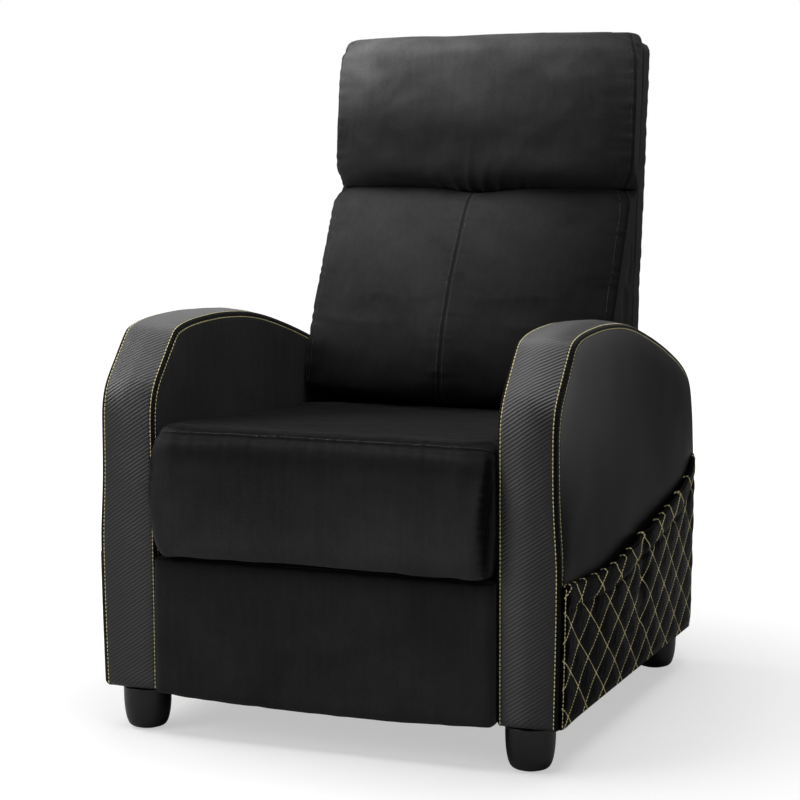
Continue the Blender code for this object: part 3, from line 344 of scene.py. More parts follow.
def dress(obj: Object, finish: "Finish", body: str, replaces: Sequence[str] = ()) -> None:
    """Give a piece its finish and body.

    Args:
        obj: The finished piece.
        finish: What it is made of.
        body: The CAD body that it moves with.
        replaces: CAD nodes that it stands for.
    """
    obj.data.materials.clear()
    obj.data.materials.append(finish.material())
    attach(obj, body)
    if replaces:
        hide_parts(*replaces)
    LOG.info("%s: %d faces on %s", obj.name, len(obj.data.polygons), body)


class Surface:
    """A finished surface that stitches and trims are laid on."""

    def __init__(self, obj: Object) -> None:
        """Read the surface once."""
        places = [Vector(place) for place in coordinates(obj)]
        self.tree = BVHTree.FromPolygons(places, [tuple(face.vertices) for face in obj.data.polygons])

    def lay(self, path: Array, lift: float) -> Array:
        """Bring a path down onto the surface.

        Args:
            path: Places near the surface.
            lift: How far above the surface the path lies.

        Returns:
            The path on the surface.
        """
        laid = []
        for place in path:
            found, normal, _, _ = self.tree.find_nearest(Vector(place))
            laid.append(found + normal * lift)
        return np.array(laid)


# ---------------------------------------------------------------------------------------------
# Node trees


class Graph:
    """Writes the nodes of one tree."""

    def __init__(self, tree: NodeTree) -> None:
        """Start on a tree."""
        self.tree = tree

    def add(self, kind: str, inputs: dict | None = None, **settings: object) -> Node:
        """Add a node.

        Args:
            kind: The node's type.
            inputs: Values or sockets for its inputs, by name or number.
            **settings: The node's own settings.

        Returns:
            The new node.
        """
        node = self.tree.nodes.new(kind)
        for key, value in settings.items():
            setattr(node, key, value)
        for key, value in (inputs or {}).items():
            if isinstance(value, Socket):
                self.tree.links.new(value, node.inputs[key])
            else:
                node.inputs[key].default_value = value
        return node

    def get(self, kind: str, inputs: dict | None = None, **settings: object) -> Socket:
        """Add a node and give its first output."""
        return self.add(kind, inputs, **settings).outputs[0]

    def math(self, operation: str, *values: object) -> Socket:
        """Combine numbers with one operation."""
        return self.get("ShaderNodeMath", dict(enumerate(values)), operation=operation)

    def times(self, one: object, other: object) -> Socket:
        """Multiply two numbers."""
        return self.math("MULTIPLY", one, other)

    def plus(self, one: object, other: object) -> Socket:
        """Add two numbers."""
        return self.math("ADD", one, other)

    def scaled(self, value: object, factor: object, offset: object) -> Socket:
        """Multiply a number and add an offset."""
        return self.math("MULTIPLY_ADD", value, factor, offset)

    def blend(self, share: object, low: object, high: object) -> Socket:
        """Mix two colours by a share."""
        node = self.add("ShaderNodeMix", {0: share, 6: low, 7: high}, data_type="RGBA")
        return node.outputs[2]

    def between(self, value: object, low: float, high: float, out_low: float,
                out_high: float) -> Socket:
        """Stretch a range of numbers onto another."""
        return self.get("ShaderNodeMapRange", {0: value, 1: low, 2: high, 3: out_low, 4: out_high})

    def noise(self, place: object, scale: float, detail: float = 2.0,
              roughness: float = 0.5) -> Socket:
        """Smooth noise over a place."""
        return self.get("ShaderNodeTexNoise", {"Vector": place, "Scale": scale, "Detail": detail,
                                               "Roughness": roughness})

    def stretched(self, place: object, scale: Sequence[float],
                  turn: Sequence[float] = (0.0, 0.0, 0.0)) -> Socket:
        """Scale and turn a pattern's coordinates."""
        return self.get("ShaderNodeMapping", {"Vector": place, "Scale": scale, "Rotation": turn})

    def waves(self, place: object, scale: float, distortion: float, bands: str,
              **inputs: float) -> Socket:
        """Even bands over a place."""
        return self.add("ShaderNodeTexWave", {"Vector": place, "Scale": scale,
                                              "Distortion": distortion, **inputs},
                        bands_direction=bands).outputs["Fac"]

    def upward(self) -> Socket:
        """How far the surface looks up, from -1 to 1."""
        normal = self.add("ShaderNodeNewGeometry").outputs["Normal"]
        return self.add("ShaderNodeSeparateXYZ", {0: normal}).outputs[2]

    def place(self) -> Socket:
        """The object's own coordinates."""
        return self.add("ShaderNodeTexCoord").outputs["Object"]

    def mask(self, name: str) -> Socket:
        """A number stored on the mesh."""
        return self.add("ShaderNodeAttribute", attribute_name=name).outputs["Fac"]

    def group(self, tree: NodeTree, place: object, **values: float) -> dict:
        """Place a shader group with its values, and give its outputs."""
        return self.add("ShaderNodeGroup", {"Place": place, **values}, node_tree=tree).outputs

    def bump(self, height: object, strength: float, distance: float,
             below: object = None) -> Socket:
        """A normal from a height, over another normal where one is given."""
        inputs = {"Height": height, "Strength": strength, "Distance": distance}
        if below is not None:
            inputs["Normal"] = below
        return self.get("ShaderNodeBump", inputs)

    def fill(self, shader: Node, **inputs: object) -> None:
        """Set or link a shader's inputs, with _ for a blank in their names."""
        for label, value in inputs.items():
            socket = shader.inputs[label.replace("_", " ")]
            if isinstance(value, Socket):
                self.tree.links.new(value, socket)
            else:
                socket.default_value = value


def shader_group(name: str, inputs: dict[str, float], outputs: Sequence[str],
                 write: Callable[[Graph, dict], dict]) -> NodeTree:
    """Build a shader node group once, or find it again.

    Args:
        name: The group's name.
        inputs: Its number inputs with their usual values. "Place" is a vector.
        outputs: Names of its number outputs.
        write: Writes the nodes from the input sockets and gives the output sockets.

    Returns:
        The group's tree.
    """
    found = bpy.data.node_groups.get(name)
    if found:
        return found
    tree = bpy.data.node_groups.new(name, "ShaderNodeTree")
    tree.interface.new_socket("Place", in_out="INPUT", socket_type="NodeSocketVector")
    for label, value in inputs.items():
        socket = tree.interface.new_socket(label, in_out="INPUT", socket_type="NodeSocketFloat")
        socket.default_value = value
    for label in outputs:
        tree.interface.new_socket(label, in_out="OUTPUT", socket_type="NodeSocketFloat")
    graph = Graph(tree)
    start = graph.add("NodeGroupInput")
    end = graph.add("NodeGroupOutput")
    made = write(graph, {socket.name: socket for socket in start.outputs if socket.name})
    for label, socket in made.items():
        tree.links.new(socket, end.inputs[label])
    return tree


def nap_group() -> NodeTree:
    """Velvet's nap: soft patches, streaks and fine fibres, with masks for painted shade on faces that
    look up and a painted highlight on faces tilted a little up.
    """

    def write(graph: Graph, given: dict) -> dict:
        """Write the nap's nodes."""
        place = given["Place"]
        patches = graph.noise(place, 6.0, 3.0, 0.5)
        patches.node.inputs["Distortion"].default_value = 0.6
        streaks = graph.noise(graph.stretched(place, (110.0, 110.0, 10.0)), 1.0, 3.0, 0.6)
        crush = graph.noise(place, 38.0, 3.0, 0.6)
        fibres = graph.noise(place, 430.0, 3.0, 0.8)
        patchy = graph.times(graph.between(patches, 0.3, 0.7, 0.0, 1.0), 0.45)
        mixed = graph.plus(patchy, graph.plus(graph.times(streaks, 0.42), graph.times(crush, 0.15)))
        mixed = graph.scaled(graph.math("SUBTRACT", mixed, 0.5), given["Contrast"], 0.5)
        speck = graph.scaled(graph.math("SUBTRACT", fibres, 0.5), given["Speckle"], mixed)
        # Masks by how far the face looks up: painted shade on faces that look up, painted highlight on
        # faces tilted a little up.
        facing = graph.upward()
        height = graph.plus(graph.times(fibres, 0.35), graph.times(crush, given["Crush"]))
        raised = graph.times(graph.between(facing, 0.10, 0.42, 0.0, 1.0),
                             graph.between(facing, 0.60, 0.90, 1.0, 0.0))
        return {"Shade": graph.math("MAXIMUM", graph.math("MINIMUM", speck, 1.0), 0.0),
                "Height": height, "Laid": graph.between(facing, 0.45, 0.92, 0.0, 1.0),
                "Raised": raised}

    return shader_group("velvet_nap", {"Contrast": 1.3, "Speckle": 0.5, "Crush": 1.2},
                        ("Shade", "Height", "Laid", "Raised"), write)


def grain_group() -> NodeTree:
    """Coated fabric's fine pebble grain, with creases and slow changes of gloss."""

    def write(graph: Graph, given: dict) -> dict:
        """Write the grain's nodes."""
        place = given["Place"]
        pebbles = graph.get("ShaderNodeTexVoronoi", {"Vector": place, "Scale": given["Scale"]},
                            feature="DISTANCE_TO_EDGE")
        rounded = graph.between(pebbles, 0.0, 0.25, 0.0, 1.0)
        fine = graph.noise(place, 2200.0, 2.0)
        creases = graph.stretched(place, (14.0, 60.0, 24.0), (0.3, 0.2, 0.5))
        creases = graph.noise(creases, 1.0, 3.0, 0.6)
        slow = graph.noise(place, 5.0, 2.0)
        height = graph.plus(graph.times(rounded, 0.5),
                            graph.plus(graph.times(fine, 0.15),
                                       graph.times(creases, given["Creases"])))
        return {"Height": height, "Slow": slow, "Pits": graph.math("SUBTRACT", 1.0, rounded)}

    return shader_group("coated_grain", {"Scale": 900.0, "Creases": 0.6},
                        ("Height", "Slow", "Pits"), write)


def rib_group() -> NodeTree:
    """Diagonal woven ribs: Place holds metres along and across the strip."""

    def write(graph: Graph, given: dict) -> dict:
        """Write the ribs' nodes."""
        parts = graph.add("ShaderNodeSeparateXYZ", {0: given["Place"]})
        along, across = parts.outputs[0], parts.outputs[1]
        sway = graph.noise(graph.stretched(given["Place"], (10.0, 14.0, 1.0)), 1.0, 2.0)
        slant = graph.times(across, given["Slope"])
        down = graph.plus(graph.math("SUBTRACT", along, slant), graph.times(sway, 0.004))
        turns = graph.math("DIVIDE", down, given["Pitch"])
        rib = graph.scaled(graph.math("SINE", graph.times(turns, TURN)), 0.5, 0.5)
        cell = graph.math("DIVIDE", graph.plus(across, graph.times(along, 0.12)), given["Cell"])
        step = graph.times(graph.math("FLOOR", turns), 0.37)
        ticks = graph.math("SINE", graph.times(graph.plus(cell, step), TURN))
        weave = graph.scaled(ticks, 0.5, 0.5)
        height = graph.plus(graph.math("POWER", rib, 0.7), graph.times(graph.times(weave, rib), 0.22))
        return {"Height": height, "Crest": rib, "Weave": weave}

    return shader_group("diagonal_ribs", {"Pitch": 0.006, "Slope": 0.68, "Cell": 0.0024},
                        ("Height", "Crest", "Weave"), write)


def wear_group() -> NodeTree:
    """Handling: sparse scuffs and dust on upward faces, and a mask for a painted highlight on upward
    faces.
    """

    def write(graph: Graph, given: dict) -> dict:
        """Write the wear's nodes."""
        place = given["Place"]
        scratch = graph.noise(graph.stretched(place, (60.0, 700.0, 90.0), (0.4, 0.0, 0.7)), 1.0, 3.0)
        patch = graph.noise(place, 14.0, 3.0)
        marks = graph.times(graph.between(scratch, 0.62, 0.75, 0.0, 1.0),
                            graph.between(patch, 0.5, 0.65, 0.0, 1.0))
        facing = graph.upward()
        specks = graph.between(graph.noise(place, 55.0, 4.0, 0.7), 0.45, 0.7, 0.0, 1.0)
        dust = graph.times(graph.between(facing, 0.3, 1.0, 0.0, 1.0), specks)
        # Scuffs and dust are the surface's own; the mask by facing is for a painted highlight on upward
        # faces.
        return {"Marks": graph.times(marks, given["Amount"]),
                "Dust": graph.times(dust, given["Amount"]),
                "Rubbed": graph.between(facing, 0.50, 0.98, 0.0, 1.0)}

    return shader_group("handling_wear", {"Amount": 1.0}, ("Marks", "Dust", "Rubbed"), write)


@dataclass(frozen=True)
class Finish:
    """What a piece is made of. Each kind writes its own nodes."""

    name: str
    slot: Slot

    def material(self) -> bpy.types.Material:
        """The finish's material, made at its first use."""
        found = bpy.data.materials.get(self.name)
        if found:
            return found
        made = bpy.data.materials.new(self.name)
        made.use_nodes = True
        graph = Graph(made.node_tree)
        self.write(graph, made.node_tree.nodes["Principled BSDF"])
        return made

    def write(self, graph: Graph, shader: Node) -> None:
        """Write the finish's nodes.

        Args:
            graph: The material's tree.
            shader: Its Principled shader.
        """
        raise NotImplementedError


def gathers(graph: Graph) -> Socket:
    """Gathers across a seam, from the distance along it that the mesh holds."""
    reach = graph.mask("reach")
    uneven = graph.noise(graph.get("ShaderNodeCombineXYZ", {0: reach}), 120.0, 1.0)
    turns = graph.scaled(uneven, 5.0, graph.times(reach, TURN / GATHER_PITCH))
    return graph.scaled(graph.math("SINE", turns), 0.5, 0.5)


def shade(value: float, warmth: float = 0.0) -> Colour:
    """A grey, slightly warm where warmth is above 0 and cool below it."""
    return (value * (1 + warmth), value, value * (1 - warmth), 1.0)


@dataclass(frozen=True)
class Velvet(Finish):
    """Short-pile velvet with a streaked nap, painted highlights and painted shade."""

    dark: float = 0.011
    light: float = 0.034
    # Tone of the painted shade on faces that look up.
    laid: float = 0.0024
    # Gain of the lit copy of the nap: a painted highlight on faces tilted up.
    raised: float = 1.15
    # Tone of the painted highlights.
    brushed: float = 0.15
    sheen: float = 0.08
    # Painted shade: its share along seams, its tone where the dark mask is set, and its tone along
    # seams.
    crease: float = 0.75
    fold: float = 0.0015
    seam: float = 0.002
    specular: float = 0.06

    def write(self, graph: Graph, shader: Node) -> None:
        """Write the velvet's nodes."""
        nap = graph.group(nap_group(), graph.place(), Contrast=0.9, Speckle=0.9)

        def nap_tone(dark: float, light: float, warmth: float = 0.0) -> Socket:
            """The nap's colour between a dark and a light tone."""
            return graph.blend(nap["Shade"], shade(dark, 0.01), shade(light, warmth))

        colour = nap_tone(self.dark, self.light)
        # Painted highlight: a lit copy of the nap on faces tilted up, then painted shade on faces that
        # look up.
        lit = nap_tone(self.dark * self.raised, self.light * self.raised)
        colour = graph.blend(nap["Raised"], colour, lit)
        colour = graph.blend(nap["Laid"], colour, shade(self.laid))
        # Painted highlight: a pale copy of the nap where the piece's highlight mask is set.
        pale = nap_tone(self.brushed * 0.6, self.brushed * 1.5)
        colour = graph.blend(graph.mask("brushed"), colour, pale)
        # Painted shade where the dark mask is set.
        colour = graph.blend(graph.mask("dark"), colour, shade(self.fold))
        # Painted shade along the seams; the seam mask also drives the gathers.
        seam = graph.mask("seam")
        colour = graph.blend(graph.times(seam, self.crease), colour, shade(self.seam))
        gathered = graph.times(gathers(graph), seam)
        fine = graph.bump(nap["Height"], 0.5, 0.0012)
        graph.fill(shader, Base_Color=colour, Normal=graph.bump(gathered, 0.8, 0.0016, fine),
                   Roughness=graph.between(nap["Shade"], 0.0, 1.0, 0.95, 0.80),
                   Sheen_Weight=self.sheen, Sheen_Roughness=0.45,
                   Sheen_Tint=(0.62, 0.62, 0.65, 1.0), Specular_IOR_Level=self.specular)


@dataclass(frozen=True)
class RibbedCover(Finish):
    """Coated fabric pressed with diagonal woven ribs, in the piece's own UV metres."""

    crest: float = 0.030
    # Tone of the rib valleys: painted shade in the recesses between the ribs.
    valley: float = 0.003
    # Tone of the painted highlights on the band.
    rubbed: float = 0.15
    weave: float = 0.012
    # Tone of the painted shade along the seams.
    seam: float = 0.004

    def write(self, graph: Graph, shader: Node) -> None:
        """Write the ribbed cover's nodes."""
        place = graph.place()
        ribs = graph.group(rib_group(), graph.get("ShaderNodeUVMap", uv_map="UVMap"))
        grain = graph.group(grain_group(), place, Scale=1400.0, Creases=0.3)
        wear = graph.group(wear_group(), place, Amount=0.5)
        seam = graph.mask("seam")
        # Ribs with light crests and dark valleys; the valleys' darkness is painted shade.
        colour = graph.blend(ribs["Crest"], shade(self.valley), shade(self.crest))
        # The woven ticks are the cloth's own; then painted highlights on upward faces and where the
        # band's highlight mask is set, painted shade where its dark mask is set, and painted shade
        # along the seams.
        rubbed = graph.times(wear["Rubbed"], graph.scaled(ribs["Crest"], 0.45, 0.55))
        for share, tone in ((graph.times(ribs["Weave"], 0.25), self.weave), (rubbed, self.rubbed),
                            (graph.mask("worn"), self.rubbed), (graph.mask("dark"), self.valley * 0.5),
                            (graph.times(seam, 0.8), self.seam)):
            colour = graph.blend(share, colour, shade(tone))
        fine = graph.bump(grain["Height"], 0.25, 0.0003)
        gathered = graph.times(graph.times(gathers(graph), seam), 1.3)
        height = graph.scaled(ribs["Height"], graph.math("SUBTRACT", 1.0, seam), gathered)
        graph.fill(shader, Base_Color=colour, Specular_IOR_Level=0.5,
                   Roughness=graph.between(grain["Slow"], 0.35, 0.65, 0.29, 0.37),
                   Normal=graph.bump(height, 0.55, 0.0011, fine))


@dataclass(frozen=True)
class CoatedCover(Finish):
    """Smooth coated fabric with a fine grain, puckered where the seam mask is set, with painted shade
    there and a painted highlight where its edge mask is set.
    """

    base: float = 0.0085
    rough: float = 0.40
    gloss: float = 0.05
    # Gain of the painted highlight along the outer panel's front and top edges.
    stretched: float = 21.0
    creases: float = 0.4
    pucker: float = 0.0014

    def write(self, graph: Graph, shader: Node) -> None:
        """Write the smooth cover's nodes."""
        place = graph.place()
        grain = graph.group(grain_group(), place, Creases=self.creases)
        wear = graph.group(wear_group(), place, Amount=0.5)
        seam = graph.mask("seam")
        ripple = graph.plus(graph.noise(place, 210.0, 3.0, 0.6), gathers(graph))
        colour = graph.blend(graph.times(grain["Pits"], 0.5), shade(self.base * 1.25),
                             shade(self.base * 0.6))
        # Scuffs are paler; then a painted highlight where the edge mask is set, and painted shade along
        # the seams.
        for share, factor in ((graph.times(wear["Marks"], 0.25), 2.2),
                              (graph.mask("stretch"), self.stretched),
                              (graph.times(seam, 0.6), 0.4)):
            colour = graph.blend(share, colour, shade(self.base * factor))
        rough = graph.plus(graph.between(grain["Slow"], 0.3, 0.7, -0.05, 0.06), self.rough)
        fine = graph.bump(grain["Height"], 0.35, 0.0004)
        graph.fill(shader, Base_Color=colour, Roughness=rough, Specular_IOR_Level=self.gloss,
                   Normal=graph.bump(graph.times(ripple, seam), 0.7, self.pucker, fine))


@dataclass(frozen=True)
class Thread(Finish):
    """Twisted sewing thread."""

    light: Colour = (1.0, 0.92, 0.52, 1.0)
    dark: Colour = (0.84, 0.72, 0.32, 1.0)

    def write(self, graph: Graph, shader: Node) -> None:
        """Write the thread's nodes."""
        place = graph.place()
        twist = graph.waves(place, 420.0, 1.5, "DIAGONAL")
        tone = graph.scaled(twist, 0.5, graph.times(graph.noise(place, 60.0, 2.0), 0.45))
        graph.fill(shader, Base_Color=graph.blend(tone, self.dark, self.light), Sheen_Weight=0.2,
                   Roughness=graph.between(twist, 0.0, 1.0, 0.42, 0.58),
                   Normal=graph.bump(twist, 0.5, 0.0004))


@dataclass(frozen=True)
class Moulded(Finish):
    """Moulded black plastic with a satin skin."""

    base: float = 0.003
    rough: float = 0.30
    gloss: float = 0.42

    def write(self, graph: Graph, shader: Node) -> None:
        """Write the plastic's nodes."""
        place = graph.place()
        wear = graph.group(wear_group(), place, Amount=0.8)
        slow = graph.noise(place, 20.0, 2.0)
        colour = graph.blend(wear["Marks"], shade(self.base), shade(self.base * 3))
        colour = graph.blend(graph.times(wear["Dust"], 0.1), colour, shade(0.05))
        rough = graph.plus(graph.between(slow, 0.3, 0.7, -0.05, 0.08), self.rough)
        graph.fill(shader, Base_Color=colour, Roughness=rough, Specular_IOR_Level=self.gloss,
                   Normal=graph.bump(graph.noise(place, 900.0, 2.0), 0.15, 0.0003))


@dataclass(frozen=True)
class Plywood(Finish):
    """Birch plywood: long grain on its faces and thin layers on its edges."""

    pale: Colour = (0.52, 0.37, 0.22, 1.0)
    brown: Colour = (0.27, 0.16, 0.08, 1.0)
    dust: Colour = (0.60, 0.50, 0.38, 1.0)

    def write(self, graph: Graph, shader: Node) -> None:
        """Write the plywood's nodes."""
        place = graph.place()
        grain = graph.noise(graph.stretched(place, (160.0, 12.0, 90.0)), 1.0, 4.0, 0.6)
        layers = graph.waves(place, 105.0, 0.6, "X", Detail=1.0)
        wear = graph.group(wear_group(), place, Amount=0.7)
        mixed = graph.plus(graph.times(grain, 0.7), graph.times(layers, 0.3))
        colour = graph.blend(mixed, self.brown, self.pale)
        graph.fill(shader, Base_Color=graph.blend(graph.times(wear["Dust"], 0.3), colour, self.dust),
                   Roughness=graph.between(grain, 0.3, 0.7, 0.62, 0.8),
                   Normal=graph.bump(mixed, 0.3, 0.0006))


@dataclass(frozen=True)
class Steel(Finish):
    """Painted or bare steel, with marks rubbed down to the metal."""

    paint: float = 0.014
    bare: float = 0.35
    metallic: float = 0.25
    rough: float = 0.42

    def write(self, graph: Graph, shader: Node) -> None:
        """Write the steel's nodes."""
        place = graph.place()
        wear = graph.group(wear_group(), place, Amount=0.9)
        peel = graph.noise(place, 700.0, 2.0)
        colour = graph.blend(wear["Marks"], shade(self.paint), shade(self.bare, 0.02))
        colour = graph.blend(graph.times(wear["Dust"], 0.2), colour, shade(0.09, 0.05))
        graph.fill(shader, Base_Color=colour, Normal=graph.bump(peel, 0.2, 0.0003),
                   Metallic=graph.between(wear["Marks"], 0.0, 1.0, self.metallic, 1.0),
                   Roughness=graph.scaled(peel, 0.14, self.rough - 0.05))


@dataclass(frozen=True)
class Webbing(Finish):
    """Woven strap, ribbed along and across."""

    pale: Colour = (0.13, 0.12, 0.11, 1.0)
    dark: Colour = (0.02, 0.02, 0.02, 1.0)

    def write(self, graph: Graph, shader: Node) -> None:
        """Write the webbing's nodes."""
        place = graph.place()
        weave = graph.times(graph.waves(place, 95.0, 0.4, "X"), graph.waves(place, 60.0, 0.4, "Z"))
        stripe = graph.noise(graph.stretched(place, (3.0, 3.0, 130.0)), 1.0, 1.0)
        mixed = graph.plus(graph.times(weave, 0.6), graph.times(stripe, 0.4))
        graph.fill(shader, Base_Color=graph.blend(mixed, self.dark, self.pale),
                   Roughness=graph.between(weave, 0.0, 1.0, 0.92, 0.78),
                   Normal=graph.bump(weave, 0.6, 0.0008))


VELVET = Velvet("black_velvet", Slot.VELVET)
RIBBED = RibbedCover("ribbed_coated_fabric", Slot.RIBBED)
SMOOTH = CoatedCover("smooth_coated_fabric", Slot.SMOOTH)
QUILTED = CoatedCover("quilted_coated_fabric", Slot.QUILTED, base=0.0012, rough=0.30, gloss=0.008,
                      creases=0.2, pucker=0.0008)
GOLD_THREAD = Thread("gold_thread", Slot.SMOOTH)
DARK_THREAD = Thread("charcoal_thread", Slot.VELVET, light=(0.17, 0.17, 0.175, 1.0),
                     dark=(0.07, 0.07, 0.072, 1.0))
FOOT_PLASTIC = Moulded("satin_foot_plastic", Slot.PLASTIC)
GLIDE = Moulded("foot_glide", Slot.PLASTIC, base=0.045, rough=0.7)
BIRCH = Plywood("birch_plywood", Slot.PLYWOOD)
PAINTED_STEEL = Steel("black_painted_steel", Slot.STEEL)
WIRE_STEEL = Steel("spring_wire_steel", Slot.SPRING, paint=0.30, bare=0.5, metallic=1.0, rough=0.34)
STRAP = Webbing("frame_webbing", Slot.WEBBING)
LINING = CoatedCover("bottom_lining", Slot.VELVET, base=0.012, rough=0.85, gloss=0.1)


# ---------------------------------------------------------------------------------------------
# Repeats, made by Geometry Nodes


@dataclass(frozen=True)
class StitchRun:
    """A sewn row: one short rounded thread for each stitch along a path."""

    pitch: float = 0.0060
    share: float = 0.86
    radius: float = 0.00095
    sides: int = 6
    rings: int = 6
    seed: int = 7
    size_range: tuple[float, float] = (0.92, 1.06)

    def tree(self) -> NodeTree:
        """The stitches' node tree, with its sizes and its thread as named inputs."""
        tree = bpy.data.node_groups.new("sewn_row", "GeometryNodeTree")
        for label, kind in (("Geometry", "Geometry"), ("Pitch", "Float"), ("Stitch length", "Float"),
                            ("Thread radius", "Float"), ("Seed", "Int"), ("Thread", "Material")):
            tree.interface.new_socket(label, in_out="INPUT", socket_type=f"NodeSocket{kind}")
        tree.interface.new_socket("Geometry", in_out="OUTPUT", socket_type="NodeSocketGeometry")
        graph = Graph(tree)
        start = graph.add("NodeGroupInput").outputs
        curve = graph.get("GeometryNodeMeshToCurve", {"Mesh": start["Geometry"]})
        points = graph.add("GeometryNodeCurveToPoints", {"Curve": curve, "Length": start["Pitch"]},
                           mode="LENGTH").outputs
        turned = graph.get("FunctionNodeAlignRotationToVector", {"Vector": points["Tangent"]}, axis="Z")
        thick, half = start["Thread radius"], graph.times(start["Stitch length"], 0.5)
        size = graph.get("ShaderNodeCombineXYZ", {0: thick, 1: thick, 2: half})
        ball = graph.get("GeometryNodeMeshUVSphere", {"Segments": self.sides, "Rings": self.rings,
                                                      "Radius": 1.0})
        lying = graph.get("GeometryNodeTransform", {"Geometry": ball, "Scale": size})
        low, high = self.size_range
        uneven = graph.add("FunctionNodeRandomValue", {"Seed": start["Seed"], 2: low, 3: high},
                           data_type="FLOAT").outputs[1]
        shown = graph.get("GeometryNodeInstanceOnPoints", {
            "Points": points["Points"], "Instance": lying, "Rotation": turned, "Scale": uneven})
        for kind in ("GeometryNodeRealizeInstances", "GeometryNodeSetShadeSmooth"):
            shown = graph.get(kind, {"Geometry": shown})
        shown = graph.get("GeometryNodeSetMaterial", {"Geometry": shown, "Material": start["Thread"]})
        graph.add("NodeGroupOutput", {"Geometry": shown})
        return tree

    def sew(self, name: str, rows: Sequence[Array], finish: Finish, body: str) -> Object:
        """Sew along rows of places.

        Args:
            name: The piece's name.
            rows: Paths, each a list of places.
            finish: The thread.
            body: The CAD body that the row moves with.

        Returns:
            The stitches as one plain mesh.
        """
        places, edges, count = [], [], 0
        for row in rows:
            places.append(row)
            edges += [(count + index, count + index + 1) for index in range(len(row) - 1)]
            count += len(row)
        mesh = bpy.data.meshes.new(name)
        mesh.from_pydata(np.vstack(places).tolist(), edges, [])
        obj = new_object(name, mesh)
        run_tree(obj, self.tree(), {"Pitch": self.pitch, "Stitch length": self.pitch * self.share,
                                    "Thread radius": self.radius, "Seed": self.seed,
                                    "Thread": finish.material()})
        dress(obj, finish, body)
        return obj


def run_tree(obj: Object, tree: NodeTree, values: dict) -> None:
    """Run a node tree on a piece and keep its result as a plain mesh.

    Args:
        obj: The piece that the tree starts from.
        tree: The node tree.
        values: The values of its named inputs.
    """
    step = obj.modifiers.new(tree.name, "NODES")
    step.node_group = tree
    for socket in tree.interface.items_tree:
        if socket.item_type == "SOCKET" and socket.in_out == "INPUT" and socket.name in values:
            step[socket.identifier] = values[socket.name]
    settle(obj)


# ---------------------------------------------------------------------------------------------
# Arms


@dataclass(frozen=True)
class ArmForm:
    """The arm's side outline and its two faces."""

    front: float = -0.3625
    depth: float = 0.763
    base: float = 0.0643
    height: float = 0.550
    inner: float = 0.270
    outer: float = 0.350
    front_corner: float = 0.009
    rear_corner: float = 0.018
    hem_level: float = 0.28
    hem_pull: float = 0.0064
    path_shares: Table = (
        (0.0065, 0.0), (0.0033, 0.42), (0.0010, 0.60), (0.0, 0.7300), (0.0020, 0.7750),
        (0.0080, 0.8090), (0.0185, 0.8385), (0.0354, 0.8690), (0.0543, 0.8990), (0.0740, 0.9305),
        (0.0925, 0.9585), (0.1080, 0.9750), (0.1390, 0.9870), (0.1800, 0.9945), (0.2400, 0.9990),
        (0.3100, 1.0), (0.4096, 0.9920), (0.5000, 0.9735), (0.6000, 0.9415), (0.6980, 0.9045),
        (0.7800, 0.8685), (0.8552, 0.8305), (0.9100, 0.7920), (0.9480, 0.7410), (0.9740, 0.6610),
        (0.9869, 0.5685), (0.9965, 0.4600), (1.0, 0.3600), (0.9921, 0.0),
    )
    mouth_shares: Table = (
        (-0.05, 0.382), (0.0384, 0.3690), (0.1514, 0.3571), (0.2700, 0.3545), (0.3600, 0.3630),
        (0.4493, 0.3820), (0.5660, 0.4010), (0.6637, 0.4199), (0.7725, 0.4424), (0.8717, 0.4719),
        (0.9336, 0.5135), (1.05, 0.575),
    )

    def places(self, shares: Sequence[Sequence[float]]) -> Array:
        """Turn shares of the arm's depth and height into (y, z) places."""
        table = np.asarray(shares, float)
        return np.stack([self.front + table[:, 0] * self.depth,
                         self.base + table[:, 1] * self.height], 1)

    def open_path(self) -> Array:
        """The outline from under the front foot over the top to under the rear foot."""
        path = smooth_path(self.places(self.path_shares), 8)
        front, rear = path[0], path[-1]
        middle = len(path) // 2
        ahead = path[:middle][path[:middle, 1] > self.base + self.front_corner]
        behind = path[middle:][path[middle:, 1] > self.base + self.rear_corner]
        turn = np.linspace(0.0, math.pi / 2, 9)[:, None]

        def corner(edge: float, r: float, way: int) -> Array:
            """A rounded corner over the floor, from its low end where the way is 1."""
            return np.hstack([edge + way * (r - r * np.sin(turn)), self.base + r - r * np.cos(turn)])

        first = corner(front[0], self.front_corner, 1)
        last = corner(rear[0], self.rear_corner, -1)[::-1]
        return np.vstack([first, ahead, behind, last])

    def outline(self, spacing: float) -> Array:
        """The closed outline with its bottom edge, evenly spaced."""
        return resample(self.open_path(), spacing, closed=True)

    def mouth(self, y: Array) -> Array:
        """Height of the pocket's mouth at a y value."""
        curve = smooth_path(self.places(self.mouth_shares), 8)
        return np.interp(y, curve[:, 0], curve[:, 1])

    def edge_swell(self, y: Array, z: Array) -> Array:
        """How far the outer seam is pulled out where the pocket's hem meets it."""
        above = z - self.hem_level
        hem = np.where(above > 0, bell(above, 0.080), bell(above, 0.24))
        return self.hem_pull * hem * bell(y - self.front, 0.06)

    def rear_round(self, y: Array) -> Array:
        """Share of an outer piece's thickness that is drawn in towards the rear edge."""
        return 1 - smoothstep(self.front + self.depth - y, 0.002, 0.052)


ARM = ArmForm()


